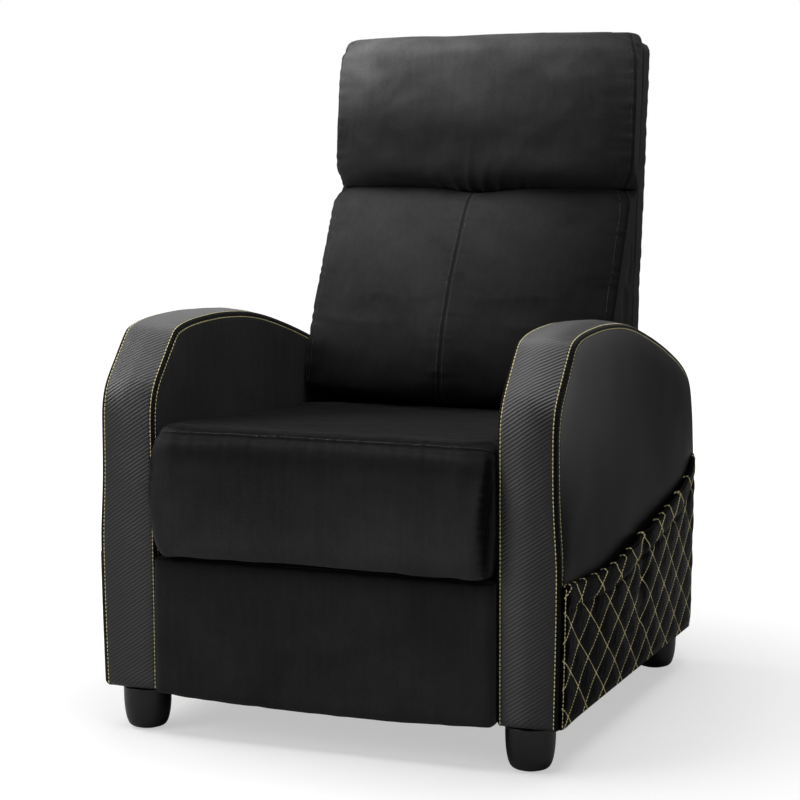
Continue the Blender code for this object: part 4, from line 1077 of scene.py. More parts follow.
@dataclass
class ArmBand:
    """The ribbed strip over an arm, crowned between its two sewn edges."""

    side: Side
    form: ArmForm = ARM
    spacing: float = 0.006
    valley: float = 0.0022
    crown: float = 0.0056
    crown_reach: float = 0.022
    groove: float = 0.0009
    stitch_inset: float = 0.0020
    depth: float = 0.0120
    uneven: float = 0.00035
    # Painted shade towards the outer edge, a painted highlight across the inner part, and the share of
    # both on the right arm.
    darkened: float = 0.92
    worn: float = 0.16
    far_share: float = 0.15
    edge_steps: tuple[float, ...] = (0.0003, 0.0008, 0.0014, 0.0022, 0.0031, 0.0042, 0.0053, 0.0066,
                                     0.0090, 0.0130, 0.0190, 0.0270, 0.0350)

    def rise(self, inset: Array) -> Array:
        """How far the band stands out, by the distance from its nearer edge."""
        swell = self.crown * (1 - np.exp(-inset / self.crown_reach))
        groove = self.groove * bell(inset - self.stitch_inset, 0.0011)
        return swell - self.valley * bell(inset, 0.0008) - groove - 0.0006

    def build(self) -> Object:
        """Make the strip and its two rows of stitches."""
        form, sign = self.form, self.side.value
        path = resample(form.open_path(), self.spacing)
        normals = outward_normals(path, closed=False)
        insets = np.array(self.edge_steps)
        width = form.outer - form.inner
        across = np.concatenate([form.inner + insets, [(form.inner + form.outer) / 2],
                                 form.outer - insets[::-1]])
        inset = np.minimum(across - form.inner, form.outer - across)
        flat_base = smoothstep(-normals[:, 1], 0.5, 0.95)[:, None]
        rise = self.rise(inset)[None, :] * (1 - flat_base) - 0.001 * flat_base
        spots = np.column_stack([np.repeat(path, len(across), axis=0), np.tile(across * 3, len(path))])
        uneven = soft_noise(spots, 0.09, 11).reshape(rise.shape)
        rise = rise + self.uneven * uneven * smoothstep(inset, 0.004, 0.02)
        outer_share = smoothstep(across, form.outer - 0.03, form.outer)
        swell = form.edge_swell(path[:, 0], path[:, 1])[:, None] * outer_share[None, :]
        top = np.stack([np.tile(across, (len(path), 1)) + swell,
                        path[:, :1] + normals[:, :1] * rise,
                        path[:, 1:] + normals[:, 1:] * rise], 2)
        under = path - normals * self.depth
        low = np.stack([np.tile(across[[-1, 0]], (len(path), 1)),
                        np.repeat(under[:, :1], 2, 1), np.repeat(under[:, 1:], 2, 1)], 2)
        rows = np.concatenate([top, low], 1)
        rows[..., 0] *= sign
        count = rows.shape[1]
        faces = strip_faces(len(path), count, closed=True)
        faces += [tuple(range(count)), tuple((len(path) - 1) * count + i for i in range(count))]
        band = make_skin(f"ribbed_band_{self.side.word}", rows, faces)
        reach = arc_lengths(path)
        along = np.repeat(reach, count)
        put_uv(band, along, rows[..., 0].ravel())
        edge = np.concatenate([inset, [0.0, 0.0]])
        put_values(band, "seam", np.tile(1 - smoothstep(edge, 0.0008, 0.0024), len(path)))
        put_values(band, "reach", along)
        # Painted shade towards the band's outer edge and a painted highlight across its inner part,
        # full on the left arm and faint on the right.
        share = np.clip((np.abs(rows[..., 0].ravel()) - form.inner) / width, 0, 1)
        near = 1.0 if self.side is Side.LEFT else self.far_share
        put_values(band, "dark", near * self.darkened * smoothstep(share, 0.34, 0.95))
        put_values(band, "worn", near * self.worn * bell(share - 0.28, 0.22))
        dress(band, RIBBED, "base", [f"arm_band_{self.side.word}"])
        self.sew(path, normals)
        return band

    def sew(self, path: Array, normals: Array) -> None:
        """Sew the gold rows along both edges of the band."""
        keep = path[:, 1] > self.form.base + 0.004
        path, normals = path[keep], normals[keep]
        rows = []
        for place in (self.form.inner + self.stitch_inset, self.form.outer - self.stitch_inset):
            rise = self.rise(np.array([self.stitch_inset]))[0] + 0.0003
            x = np.full(len(path), place)
            if place > (self.form.inner + self.form.outer) / 2:
                x = x + self.form.edge_swell(path[:, 0], path[:, 1]) * 0.9
            rows.append(np.stack([self.side.value * x, *(path + normals * rise).T], 1))
        StitchRun().sew(f"band_stitches_{self.side.word}", rows, GOLD_THREAD, "base")


@dataclass
class ArmPanel:
    """A padded side panel of an arm: a rolled rim, a stitched groove and a soft face."""

    side: Side
    outer: bool
    form: ArmForm = ARM
    spacing: float = 0.0055
    rim_steps: tuple[float, ...] = (0.0, 0.0004, 0.0010, 0.0018, 0.0028, 0.0040, 0.0052, 0.0064,
                                    0.0078, 0.0092, 0.0106, 0.0122, 0.0138, 0.0154, 0.0172)
    inward_shares: tuple[float, ...] = (0.05, 0.08, 0.12, 0.17, 0.23, 0.30, 0.38, 0.47, 0.57, 0.68,
                                        0.80, 0.90, 1.0)
    spine: tuple[float, float, float] = (0.020, 0.21, 0.43)
    rear_drawn: float = 0.0026
    inner_row: float = 0.0085
    outer_row: float = 0.0066
    row_ahead: tuple[float, float] = (0.0014, 0.0072)
    inner_rise: tuple[float, float, float, float] = (0.0026, 0.0009, 0.0010, 0.0032)
    outer_rise: tuple[float, float, float, float] = (0.0038, 0.0024, 0.0014, 0.0044)
    high_rise: tuple[float, float] = (0.0034, 0.0036)
    uneven: float = 0.0005
    fill: float = 0.85
    # A slight painted highlight over the whole inner panel.
    brushed: float = 0.07

    def stitched(self, y: Array, z: Array) -> Array:
        """Distance of the stitched groove from the panel's edge at a place."""
        if not self.outer:
            return np.full(np.shape(y), self.inner_row)
        ahead = 1 - smoothstep(y - self.form.front, 0.040, 0.120)
        above = smoothstep(z - self.form.mouth(y), -0.03, 0.05)
        low, high = self.row_ahead
        return self.outer_row + low * ahead * (1 - above) + high * ahead * above

    def rise(self, inset: Array, y: Array, z: Array) -> Array:
        """How far the panel stands out of the arm's board.

        Args:
            inset: Distance from the panel's edge.
            y: The place's y value.
            z: The place's z value.

        Returns:
            The height of the panel's face there.
        """
        beyond = inset - self.stitched(y, z)
        groove = bell(beyond, 0.0016)
        valley = bell(inset, 0.0014)
        inside = np.maximum(beyond, 0)
        if not self.outer:
            level, swell, pressed, sunk = self.inner_rise
            return level + swell * (1 - np.exp(-inside / 0.012)) - pressed * groove - sunk * valley
        above = smoothstep(z - self.form.mouth(y), -0.03, 0.045)
        soft = 1 - np.exp(-inside / 0.020)
        wide = 1 - np.exp(-inside / 0.060)
        level, swell, pressed, sunk = self.outer_rise
        high_soft, high_wide = self.high_rise
        return (level - pressed * groove - sunk * valley + swell * soft
                + above * (high_soft * soft + high_wide * wide))

    def build(self) -> Object:
        """Make the panel and its row of stitches."""
        form = self.form
        outline = form.outline(self.spacing)
        normals = outward_normals(outline, closed=True)
        start = outline - normals * 0.0004
        rings = [start - normals * step for step in self.rim_steps]
        y_mid, z_low, z_high = self.spine
        spine = np.stack([np.full(len(outline), y_mid), np.clip(outline[:, 1], z_low, z_high)], 1)
        rings += [rings[len(self.rim_steps) - 1] * (1 - share) + spine * share
                  for share in self.inward_shares]
        flat = np.vstack(rings)
        inset, _ = distances(flat, start)
        inset[:len(outline) * len(self.rim_steps)] = np.repeat(self.rim_steps, len(outline))
        height = self.rise(inset, flat[:, 0], flat[:, 1])
        height += self.uneven * soft_noise(flat, 0.11, 5) * smoothstep(inset, 0.01, 0.05)
        face = form.outer if self.outer else form.inner
        direction = 1 if self.outer else -1
        x = face + direction * height
        if self.outer:
            x = x + form.edge_swell(flat[:, 0], flat[:, 1])
            x = x - self.rear_drawn * form.rear_round(flat[:, 0]) * smoothstep(inset, 0.0, 0.004)
        columns = len(outline)
        places = np.stack([self.side.value * x, flat[:, 0], flat[:, 1]], 1)
        back = np.stack([np.full(columns, self.side.value * (face - direction * 0.001)),
                         start[:, 0], start[:, 1]], 1)
        which = "outer" if self.outer else "inner"
        faces = strip_faces(len(rings) + 1, columns, closed=True) + [tuple(range(columns))]
        panel = make_skin(f"{which}_panel_{self.side.word}", np.vstack([back, places]), faces,
                          merge=True)
        self.mark(panel, start)
        dress(panel, SMOOTH if self.outer else VELVET, "base", [f"arm_{which}_pad_{self.side.word}"])
        row = self.stitch_row(start, normals, face, direction)
        StitchRun().sew(f"{which}_panel_stitches_{self.side.word}", [row], GOLD_THREAD, "base")
        return panel

    def mark(self, panel: Object, start: Array) -> None:
        """Store where the panel is sewn, with puckers and painted shade there, and where highlights are
        painted on.

        Args:
            panel: The panel.
            start: Its edge.
        """
        spots = coordinates(panel)
        far, nearest = distances(spots[:, 1:], start)
        beyond = far - self.stitched(spots[:, 1], spots[:, 2])
        put_values(panel, "seam", 1 - smoothstep(beyond, -0.0030, 0.0004))
        put_values(panel, "reach", arc_lengths(start)[nearest])
        if self.outer:
            # Painted highlight along the outer panel's front and top edges, fading inwards.
            pulled = 0.6 + 0.4 * np.exp(-np.maximum(beyond, 0) / 0.03)
            high = smoothstep(spots[:, 2], 0.31, 0.56) ** 1.3
            ahead = np.clip(1 - (spots[:, 1] - self.form.front) / 0.50, 0, 1) ** 1.3
            put_values(panel, "stretch", smoothstep(beyond, -0.001, 0.003) * pulled * high * ahead)
        else:
            # A slight painted highlight over the whole inner panel.
            put_values(panel, "brushed", np.full(len(spots), self.brushed))

    def stitch_row(self, start: Array, normals: Array, face: float, direction: int) -> Array:
        """Places of the gold row round the panel, from the front foot over the top.

        Args:
            start: The panel's edge.
            normals: Its outward normals.
            face: The x value of the arm's board.
            direction: 1 where the panel looks away from the seat.

        Returns:
            The row's places.
        """
        inset = self.stitched(start[:, 0], start[:, 1])
        row = start - normals * inset[:, None]
        keep = (start[:, 1] > self.form.base + 0.004) & (np.abs(normals[:, 1] + 1) > 0.2)
        row, inset = row[keep], self.stitched(row[keep, 0], row[keep, 1])
        x = face + direction * (self.rise(inset, row[:, 0], row[:, 1]) + 0.0003)
        if self.outer:
            x = x + self.form.edge_swell(row[:, 0], row[:, 1])
            x = x - self.rear_drawn * self.form.rear_round(row[:, 0])
            pocket = QuiltedPocket(self.side)
            x = np.where(row[:, 1] < self.form.mouth(row[:, 0]) + 0.002,
                         pocket.base_x(row[:, 0], row[:, 1]) + 0.0003, x)
        return np.stack([self.side.value * x, row[:, 0], row[:, 1]], 1)


@dataclass
class QuiltedPocket:
    """The side pocket: a quilted sheet, sewn down round its rim, with a rolled elastic hem."""

    side: Side
    form: ArmForm = ARM
    across: int = 210
    up: int = 62
    wall: float = 0.0030
    rim: float = 0.3539
    bulge: float = 0.0150
    rear_share: float = 0.10
    diamond: tuple[float, float] = (0.0868, 0.0658)
    crossing: tuple[float, float] = (-0.2386, 0.2119)
    puff: float = 0.0036
    hem: float = 0.030
    seam_inset: float = 0.0030
    lip: float = 0.0048
    wander: float = 0.035
    pinch: float = 0.0050
    ridge: float = 0.0020
    drawn: float = 0.0118
    step: float = 0.0022
    far_flat: float = 0.0024

    def __post_init__(self) -> None:
        """Measure the rim's front and rear edges."""
        self.flat = self.far_flat if self.side is Side.RIGHT else 0.0
        path = self.form.open_path()
        path = path - outward_normals(path, closed=False) * self.seam_inset
        top = int(path[:, 1].argmax())
        self.front_edge = path[:top][np.argsort(path[:top, 1])]
        self.rear_edge = path[top:][np.argsort(path[top:, 1])]
        self.low = self.form.base + self.seam_inset

    def span(self, z: Array) -> tuple[Array, Array]:
        """The y values of the pocket's front and rear edges at a height."""
        return (np.interp(z, self.front_edge[:, 1], self.front_edge[:, 0]),
                np.interp(z, self.rear_edge[:, 1], self.rear_edge[:, 0]))

    def shares(self, y: Array, z: Array) -> tuple[Array, Array]:
        """Shares of the pocket's length and height at a place."""
        front, rear = self.span(z)
        return ((y - front) / (rear - front),
                (z - self.low) / (self.form.mouth(y) - self.low))

    def quilt(self, y: Array, z: Array) -> tuple[Array, Array]:
        """Numbers that are whole along the two families of sewn lines.

        Args:
            y: The place's y value.
            z: The place's z value.

        Returns:
            The numbers of the falling and of the rising lines.
        """
        sway = plane_noise(y, z, 0.16, 21) * self.wander
        bend = plane_noise(y, z, 0.13, 22) * self.wander
        along = (y - self.crossing[0]) / self.diamond[0]
        up = (z - self.crossing[1]) / self.diamond[1]
        return along + up + sway, along - up + bend

    def base_x(self, y: Array, z: Array) -> Array:
        """The sheet's outer face without its quilting."""
        along, up = self.shares(y, z)
        along, up = np.clip(along, 0, 1), np.clip(up, 0, 1)
        swell = (np.sin(math.pi * along) * (1 - self.rear_share)
                 + self.rear_share * np.sin(math.pi / 2 * along))
        edge = np.minimum(y - self.span(z)[0], self.span(z)[1] - y)
        pinch = self.pinch * bell(y - 0.016, 0.020) * smoothstep(up, 0.15, 0.75)
        hem_line = self.form.mouth(y) - self.hem
        ridge = self.ridge * bell(z - hem_line, 0.0035) * smoothstep(edge, 0.006, 0.03)
        lip = self.step * smoothstep(z, hem_line, hem_line + 0.014)
        return (self.rim + self.wall + self.step * smoothstep(edge, 0.0, 0.012)
                + self.bulge * swell * np.sin(math.pi / 2 * up)
                - pinch * smoothstep(edge, 0.0, 0.02) - ridge
                + lip * smoothstep(edge, 0.004, 0.02) + self.form.edge_swell(y, z)
                - self.drawn * self.form.rear_round(y)
                - self.flat * (1 - smoothstep(edge, 0.0, 0.05)))

    def pillow(self, y: Array, z: Array) -> Array:
        """How far the padding stands up between the sewn lines."""
        falling, rising = self.quilt(y, z)
        span = self.span(z)
        edge = np.minimum(np.minimum(y - span[0], span[1] - y), z - self.low)
        height = (np.abs(np.sin(math.pi * falling)) * np.abs(np.sin(math.pi * rising))) ** 0.55
        creases = 0.12 * plane_noise(y, z, 0.022, 8)
        hem = 1 - 0.55 * smoothstep(z, self.form.mouth(y) - self.hem, self.form.mouth(y) - self.hem / 2)
        rear = 0.35 + 0.65 * smoothstep(span[1] - y, 0.004, 0.060)
        ease = 1 - (self.flat > 0) * (1 - smoothstep(y - span[0], 0.004, 0.050))
        return self.puff * height * hem * rear * ease * (1 + creases) * smoothstep(edge, 0.0015, 0.014)

    def sheet(self) -> Array:
        """Rows of places round the sheet: up its face, over its rolled hem and down its inside."""
        shares = np.linspace(0.0, 1.0, self.across)
        rows = []
        for up in np.linspace(0.0, 1.0, self.up):
            y = self.form.front + shares * self.form.depth
            for _ in range(5):
                z = self.low + up * (self.form.mouth(y) - self.low)
                front, rear = self.span(z)
                y = front + shares * (rear - front)
            rows.append(np.stack([self.base_x(y, z) + self.pillow(y, z), y, z], 1))
        mouth = rows[-1]
        taper = smoothstep(np.minimum(shares, 1 - shares), 0.0, 0.05) * 0.75 + 0.25
        roll = []
        for turn in np.linspace(0.0, math.pi, 13)[1:-1]:
            ring = mouth.copy()
            ring[:, 0] -= self.lip * (1 - math.cos(turn)) * taper
            ring[:, 2] += self.lip * math.sin(turn) * taper
            roll.append(ring)
        inner = []
        for row in rows[::-1]:
            ring = row.copy()
            below = self.form.mouth(row[:, 1]) - row[:, 2]
            near = 1 - smoothstep(below, 0.0, 0.022)
            ring[:, 0] = ((self.base_x(row[:, 1], row[:, 2]) - self.wall) * (1 - near)
                          + (mouth[:, 0] - 2 * self.lip * taper) * near)
            inner.append(ring)
        loop = np.array(rows + roll + inner)
        loop[..., 0] *= self.side.value
        return loop

    def build(self) -> Object:
        """Make the sheet and sew its lines."""
        loop = self.sheet()
        count = len(loop)
        faces = strip_faces(self.across, count, closed=True) + self.end_caps(count)
        pocket = make_skin(f"quilted_pocket_{self.side.word}", loop.transpose(1, 0, 2), faces)
        spots = coordinates(pocket)
        falling, rising = self.quilt(spots[:, 1], spots[:, 2])
        near = np.minimum(np.abs(falling - np.round(falling)), np.abs(rising - np.round(rising)))
        span = self.span(spots[:, 2])
        edge = np.minimum(spots[:, 1] - span[0], span[1] - spots[:, 1])
        seam = np.maximum(1 - smoothstep(near, 0.02, 0.16), 1 - smoothstep(edge, 0.001, 0.006))
        # The quilted lines and rim: puckers and painted shade along them.
        put_values(pocket, "seam", seam * 0.8)
        dress(pocket, QUILTED, "base", [f"arm_pocket_{self.side.word}"])
        StitchRun(pitch=0.0056).sew(f"quilting_{self.side.word}", self.lines(), GOLD_THREAD, "base")
        return pocket

    def end_caps(self, count: int) -> list[tuple[int, ...]]:
        """Quads that close the sheet's two short ends."""
        faces = []
        for start in (0, (self.across - 1) * count):
            for index in range(count // 2 - 1):
                far = count - 1 - index
                faces.append((start + index, start + index + 1, start + far - 1, start + far))
        return faces

    def lines(self) -> list[Array]:
        """Paths of the sewn lines over the sheet and a little way over its hem."""
        found = []
        y = np.arange(self.form.front, self.form.front + self.form.depth, 0.002)
        for falling in (True, False):
            climb = self.diamond[1] if falling else -self.diamond[1]
            for number in range(-6, 12):
                z = np.full_like(y, self.crossing[1])
                for _ in range(12):
                    z = z + climb * (number - self.quilt(y, z)[0 if falling else 1])
                found += self.clip(y, z, rising_end=not falling)
        return found

    def clip(self, y: Array, z: Array, rising_end: bool) -> list[Array]:
        """Keep the part of a sewn line that lies on the sheet.

        Args:
            y: The line's y values.
            z: The line's z values.
            rising_end: Whether the line climbs towards the rear.

        Returns:
            The kept line, or nothing.
        """
        span = self.span(z)
        inside = ((y > span[0] + 0.0030) & (y < span[1] - 0.0030) & (z > self.low + 0.002)
                  & (z < self.form.mouth(y)))
        if inside.sum() < 4:
            return []
        keep = np.flatnonzero(inside)
        y, z = y[keep[0]:keep[-1] + 1], z[keep[0]:keep[-1] + 1]
        line = np.stack([self.base_x(y, z) + 0.0005, y, z], 1)
        end = -1 if rising_end else 0
        if self.form.mouth(y[end]) - z[end] < 0.006:
            turns = np.linspace(0.12, 0.72, 7) * math.pi
            reach = self.lip + 0.0003
            lean = -0.0012 if rising_end else -0.0020
            over = np.stack([-self.lip + reach * np.cos(turns), lean * turns, reach * np.sin(turns)], 1)
            tip = line[end].copy()
            tip[2] = self.form.mouth(tip[1])
            extra = tip + over
            line = np.vstack([line, extra]) if rising_end else np.vstack([extra[::-1], line])
        line[:, 0] *= self.side.value
        return [line]


@dataclass
class ArmLining:
    """The thin cloth that closes the underside of an arm round its feet."""

    side: Side
    form: ArmForm = ARM
    foot_radius: float = 0.0375
    feet: Table = ((0.305, -0.3195), (0.305, 0.3335))
    level: float = 0.0646
    thickness: float = 0.0006
    inset: float = 0.004
    sag: float = 0.00027
    across: int = 60
    along: int = 40

    def build(self) -> Object:
        """Make the cloth as a strip between the feet, curved round each."""
        (foot_x, front), (_, rear) = self.feet
        x_low, x_high = self.form.inner + self.inset, self.form.outer - self.inset
        rows = []
        for share in np.linspace(0.0, 1.0, self.across):
            x = x_low + share * (x_high - x_low)
            reach = math.sqrt(max(self.foot_radius ** 2 - (x - foot_x) ** 2, 0.0))
            y = np.linspace(front + reach, rear - reach, self.along)
            sag = self.sag * np.sin(math.pi * (y - front) / (rear - front)) * math.sin(math.pi * share)
            rows.append(np.stack([np.full(self.along, self.side.value * x), y, self.level + sag], 1))
        grid = np.array(rows)
        lining = make_skin(f"arm_lining_{self.side.word}",
                           np.stack([grid, grid + np.array([0.0, 0.0, self.thickness])]),
                           sheet_faces(self.across, self.along))
        dress(lining, LINING, "base")
        return lining


# ---------------------------------------------------------------------------------------------
# Cushions


@dataclass(frozen=True)
class Stuffing:
    """How a cushion is blown up by the cloth simulation."""

    pressure: float = 4.0
    slack: float = 0.02
    cap: float = 0.024
    frames: int = 20
    mass: float = 0.3
    stiffness: float = 12.0
    bending: float = 0.6

    def add_cloth(self, obj: Object) -> None:
        """Give a cushion the cloth step that blows it up, with nothing to bump into."""
        step = obj.modifiers.new("cloth", "CLOTH")
        for name, value in (("quality", 5), ("mass", self.mass), ("tension_stiffness", self.stiffness),
                            ("compression_stiffness", self.stiffness),
                            ("shear_stiffness", self.stiffness / 3),
                            ("bending_stiffness", self.bending), ("use_pressure", True),
                            ("uniform_pressure_force", self.pressure),
                            ("shrink_min", -self.slack), ("vertex_group_mass", "held")):
            setattr(step.settings, name, value)
        step.settings.effector_weights.gravity = 0.0
        step.collision_settings.use_collision = False
        step.collision_settings.use_self_collision = False
        step.point_cache.frame_start = 1
        step.point_cache.frame_end = self.frames

    def inflate(self, obj: Object, held: Array, wanted: float) -> None:
        """Blow a cushion up between its held seams.

        Args:
            obj: The cushion's mesh.
            held: How firmly each point is held, from 0 to 1.
            wanted: How far its free middle is to swell.
        """
        start = coordinates(obj)
        normals = point_normals(obj)
        group = obj.vertex_groups.new(name="held")
        for level in np.unique(np.round(held, 2)):
            if level > 0:
                group.add(np.flatnonzero(np.round(held, 2) == level).tolist(), float(level), "REPLACE")
        self.add_cloth(obj)
        scene = bpy.context.scene
        for frame_number in range(1, self.frames + 1):
            scene.frame_set(frame_number)
        graph = bpy.context.evaluated_depsgraph_get()
        blown = obj.evaluated_get(graph).to_mesh()
        flat = np.empty(len(blown.vertices) * 3)
        blown.vertices.foreach_get("co", flat)
        obj.evaluated_get(graph).to_mesh_clear()
        moved = flat.reshape(-1, 3) - start
        obj.modifiers.clear()
        obj.vertex_groups.clear()
        scene.frame_set(1)
        length = np.linalg.norm(moved, axis=1)
        free = held < 0.05
        outward = (moved * normals).sum(1)[free]
        LOG.info("%s: cloth moved %.1f mm in the middle, %.1f mm at most", obj.name,
                 1000 * float(np.median(outward)), 1000 * float(length.max()))
        size = wanted / max(float(np.percentile(outward, 60)), 0.001)
        moved *= min(max(size, 0.2), 2.5)
        length = np.linalg.norm(moved, axis=1)
        moved *= np.minimum(1.0, self.cap / np.maximum(length, 1e-9))[:, None]
        put_coordinates(obj, start + moved)


def block_grid(counts: tuple[int, int, int], open_sides: Sequence[str] = ()
               ) -> tuple[Array, list[tuple[int, ...]]]:
    """The surface of a block of cells.

    Args:
        counts: Cells along each axis.
        open_sides: Sides left out, as "x0", "x1", "y0" and so on.

    Returns:
        Shares from 0 to 1 on each axis for every point, and the faces.
    """
    nx, ny, nz = counts
    faces, used = [], {}
    shares = []

    def number(i: int, j: int, k: int) -> int:
        """Number of the point at a cell corner."""
        if (i, j, k) not in used:
            used[(i, j, k)] = len(shares)
            shares.append((i / nx, j / ny, k / nz))
        return used[(i, j, k)]

    for axis, (u_count, v_count) in enumerate(((ny, nz), (nx, nz), (nx, ny))):
        for end in (0, 1):
            if f"{'xyz'[axis]}{end}" in open_sides:
                continue
            fixed = end * counts[axis]
            for u in range(u_count):
                for v in range(v_count):
                    ring = []
                    for du, dv in ((0, 0), (1, 0), (1, 1), (0, 1)):
                        spot = [u + du, v + dv]
                        spot.insert(axis, fixed)
                        ring.append(number(*spot))
                    outward = (end == 1) != (axis == 1)
                    faces.append(tuple(ring if outward else ring[::-1]))
    return np.array(shares), faces


@dataclass
class Cushion:
    """A boxed cushion made on a block of cells, blown up, sewn and puckered."""

    name: str
    body: str
    node: str
    counts: tuple[int, int, int]
    stuffing: Stuffing = field(default_factory=Stuffing)
    fill: float = 0.7
    swell: float = 0.006
    seam_depth: float = 0.0022
    pucker: float = 0.0016
    pucker_reach: float = 0.016
    uneven: float = 0.0007
    groove_width: float = 0.0032
    seam_width: float = 0.0026
    seed: int = 3

    def shape(self, shares: Array) -> Array:
        """Places of the cushion's points for their shares of width, depth and height."""
        raise NotImplementedError

    def held(self, shares: Array) -> Array:
        """How firmly each point is held while the cushion is blown up."""
        raise NotImplementedError

    def seams(self, shares: Array, places: Array) -> list[Array]:
        """Paths of the seams over the finished cushion."""
        raise NotImplementedError

    def limit(self, places: Array) -> Array:
        """Keep the points clear of the cushion's neighbours."""
        return places

    def extra(self, shares: Array, places: Array, normals: Array) -> Array:
        """Folds of its own that a cushion has."""
        return places

    def brushed(self, places: Array) -> Array:
        """Where a highlight is painted on."""
        return np.zeros(len(places))

    def shaded(self, places: Array) -> Array:
        """Where shade is painted on."""
        return np.zeros(len(places))

    def press_seams(self, places: Array, normals: Array) -> tuple[Array, Array]:
        """Press the seams in and pucker the cloth beside them.

        Args:
            places: The cushion's points.
            normals: Their normals.

        Returns:
            The moved points, and how near each is to a seam, from 0 to 1.
        """
        seam = np.zeros(len(places))
        for index, path in enumerate(self.paths):
            far, which = distances(places, path)
            reach = arc_lengths(path)[which][:, None]
            ripple = (soft_noise(reach, 0.020, self.seed + index)
                      + 0.6 * soft_noise(reach, 0.043, self.seed + index + 40))
            fade = np.exp(-far / self.pucker_reach) * smoothstep(far, 0.0, 0.006)
            folds = self.pucker * ripple * fade
            groove = self.seam_depth * bell(far, self.groove_width)
            places = places + normals * (folds - groove)[:, None]
            seam = np.maximum(seam, bell(far, self.seam_width))
        return places, seam

    def build(self) -> tuple[Object, Surface]:
        """Make the cushion.

        Returns:
            The finished piece and its surface.
        """
        shares, faces = block_grid(self.counts)
        obj = make_skin(self.name, self.shape(shares), faces, turn=False)
        for axis, name in enumerate(SHARE_NAMES):
            put_values(obj, name, shares[:, axis])
        held = self.held(shares)
        normals = point_normals(obj)
        free = (1 - held)[:, None]
        put_coordinates(obj, coordinates(obj) - normals * self.swell * free)
        self.stuffing.inflate(obj, held, self.swell)
        smooth = obj.modifiers.new("smooth", "SUBSURF")
        smooth.levels = smooth.render_levels = 1
        settle(obj)
        shares = np.stack([get_values(obj, name) for name in SHARE_NAMES], 1)
        places = coordinates(obj)
        normals = point_normals(obj)
        self.paths = self.seams(shares, places)
        places, seam = self.press_seams(places, normals)
        uneven = (soft_noise(places, 0.075, self.seed + 90)
                  + 0.5 * soft_noise(places, 0.034, self.seed + 91))
        places = places + normals * (self.uneven * uneven)[:, None]
        places = self.limit(self.extra(shares, places, normals))
        put_coordinates(obj, places)
        # Masks for the velvet: seams (puckers and painted shade), painted shade, and painted highlights
        # varied a little by the unevenness.
        put_values(obj, "seam", seam)
        put_values(obj, "dark", self.shaded(places))
        put_values(obj, "brushed", self.brushed(places) * (1 + 0.12 * uneven))
        for name in SHARE_NAMES:
            obj.data.attributes.remove(obj.data.attributes[name])
        dress(obj, VELVET, self.body, [self.node])
        return obj, Surface(obj)


def edge_path(shares: Array, places: Array, fixed: dict[int, float], along: int) -> Array:
    """The points of a finished cushion along one edge of its block.

    Args:
        shares: Shares of each point.
        places: Places of each point.
        fixed: The shares that stay the same, by axis.
        along: The axis that the edge runs along.

    Returns:
        The edge's places in order.
    """
    on = np.ones(len(shares), bool)
    for axis, value in fixed.items():
        nearest = np.unique(np.abs(shares[:, axis] - value)).min()
        on &= np.abs(np.abs(shares[:, axis] - value) - nearest) < 1e-4
    found = np.flatnonzero(on)
    return resample(places[found[np.argsort(shares[found, along])]], 0.003)


@dataclass(frozen=True)
class BackPlane:
    """The upright back's leaning frame."""

    y: float = 0.3605
    height: float = 0.565
    lean: float = math.radians(5.8)
    depth: float = 0.0472

    def rear(self, z: Array) -> Array:
        """The y value of the frame's rear face at a height."""
        return self.y + (z - self.height) * math.tan(self.lean)

    def front(self, z: Array) -> Array:
        """The y value of the frame's front face at a height."""
        return self.rear(z) - self.depth


BACK = BackPlane()


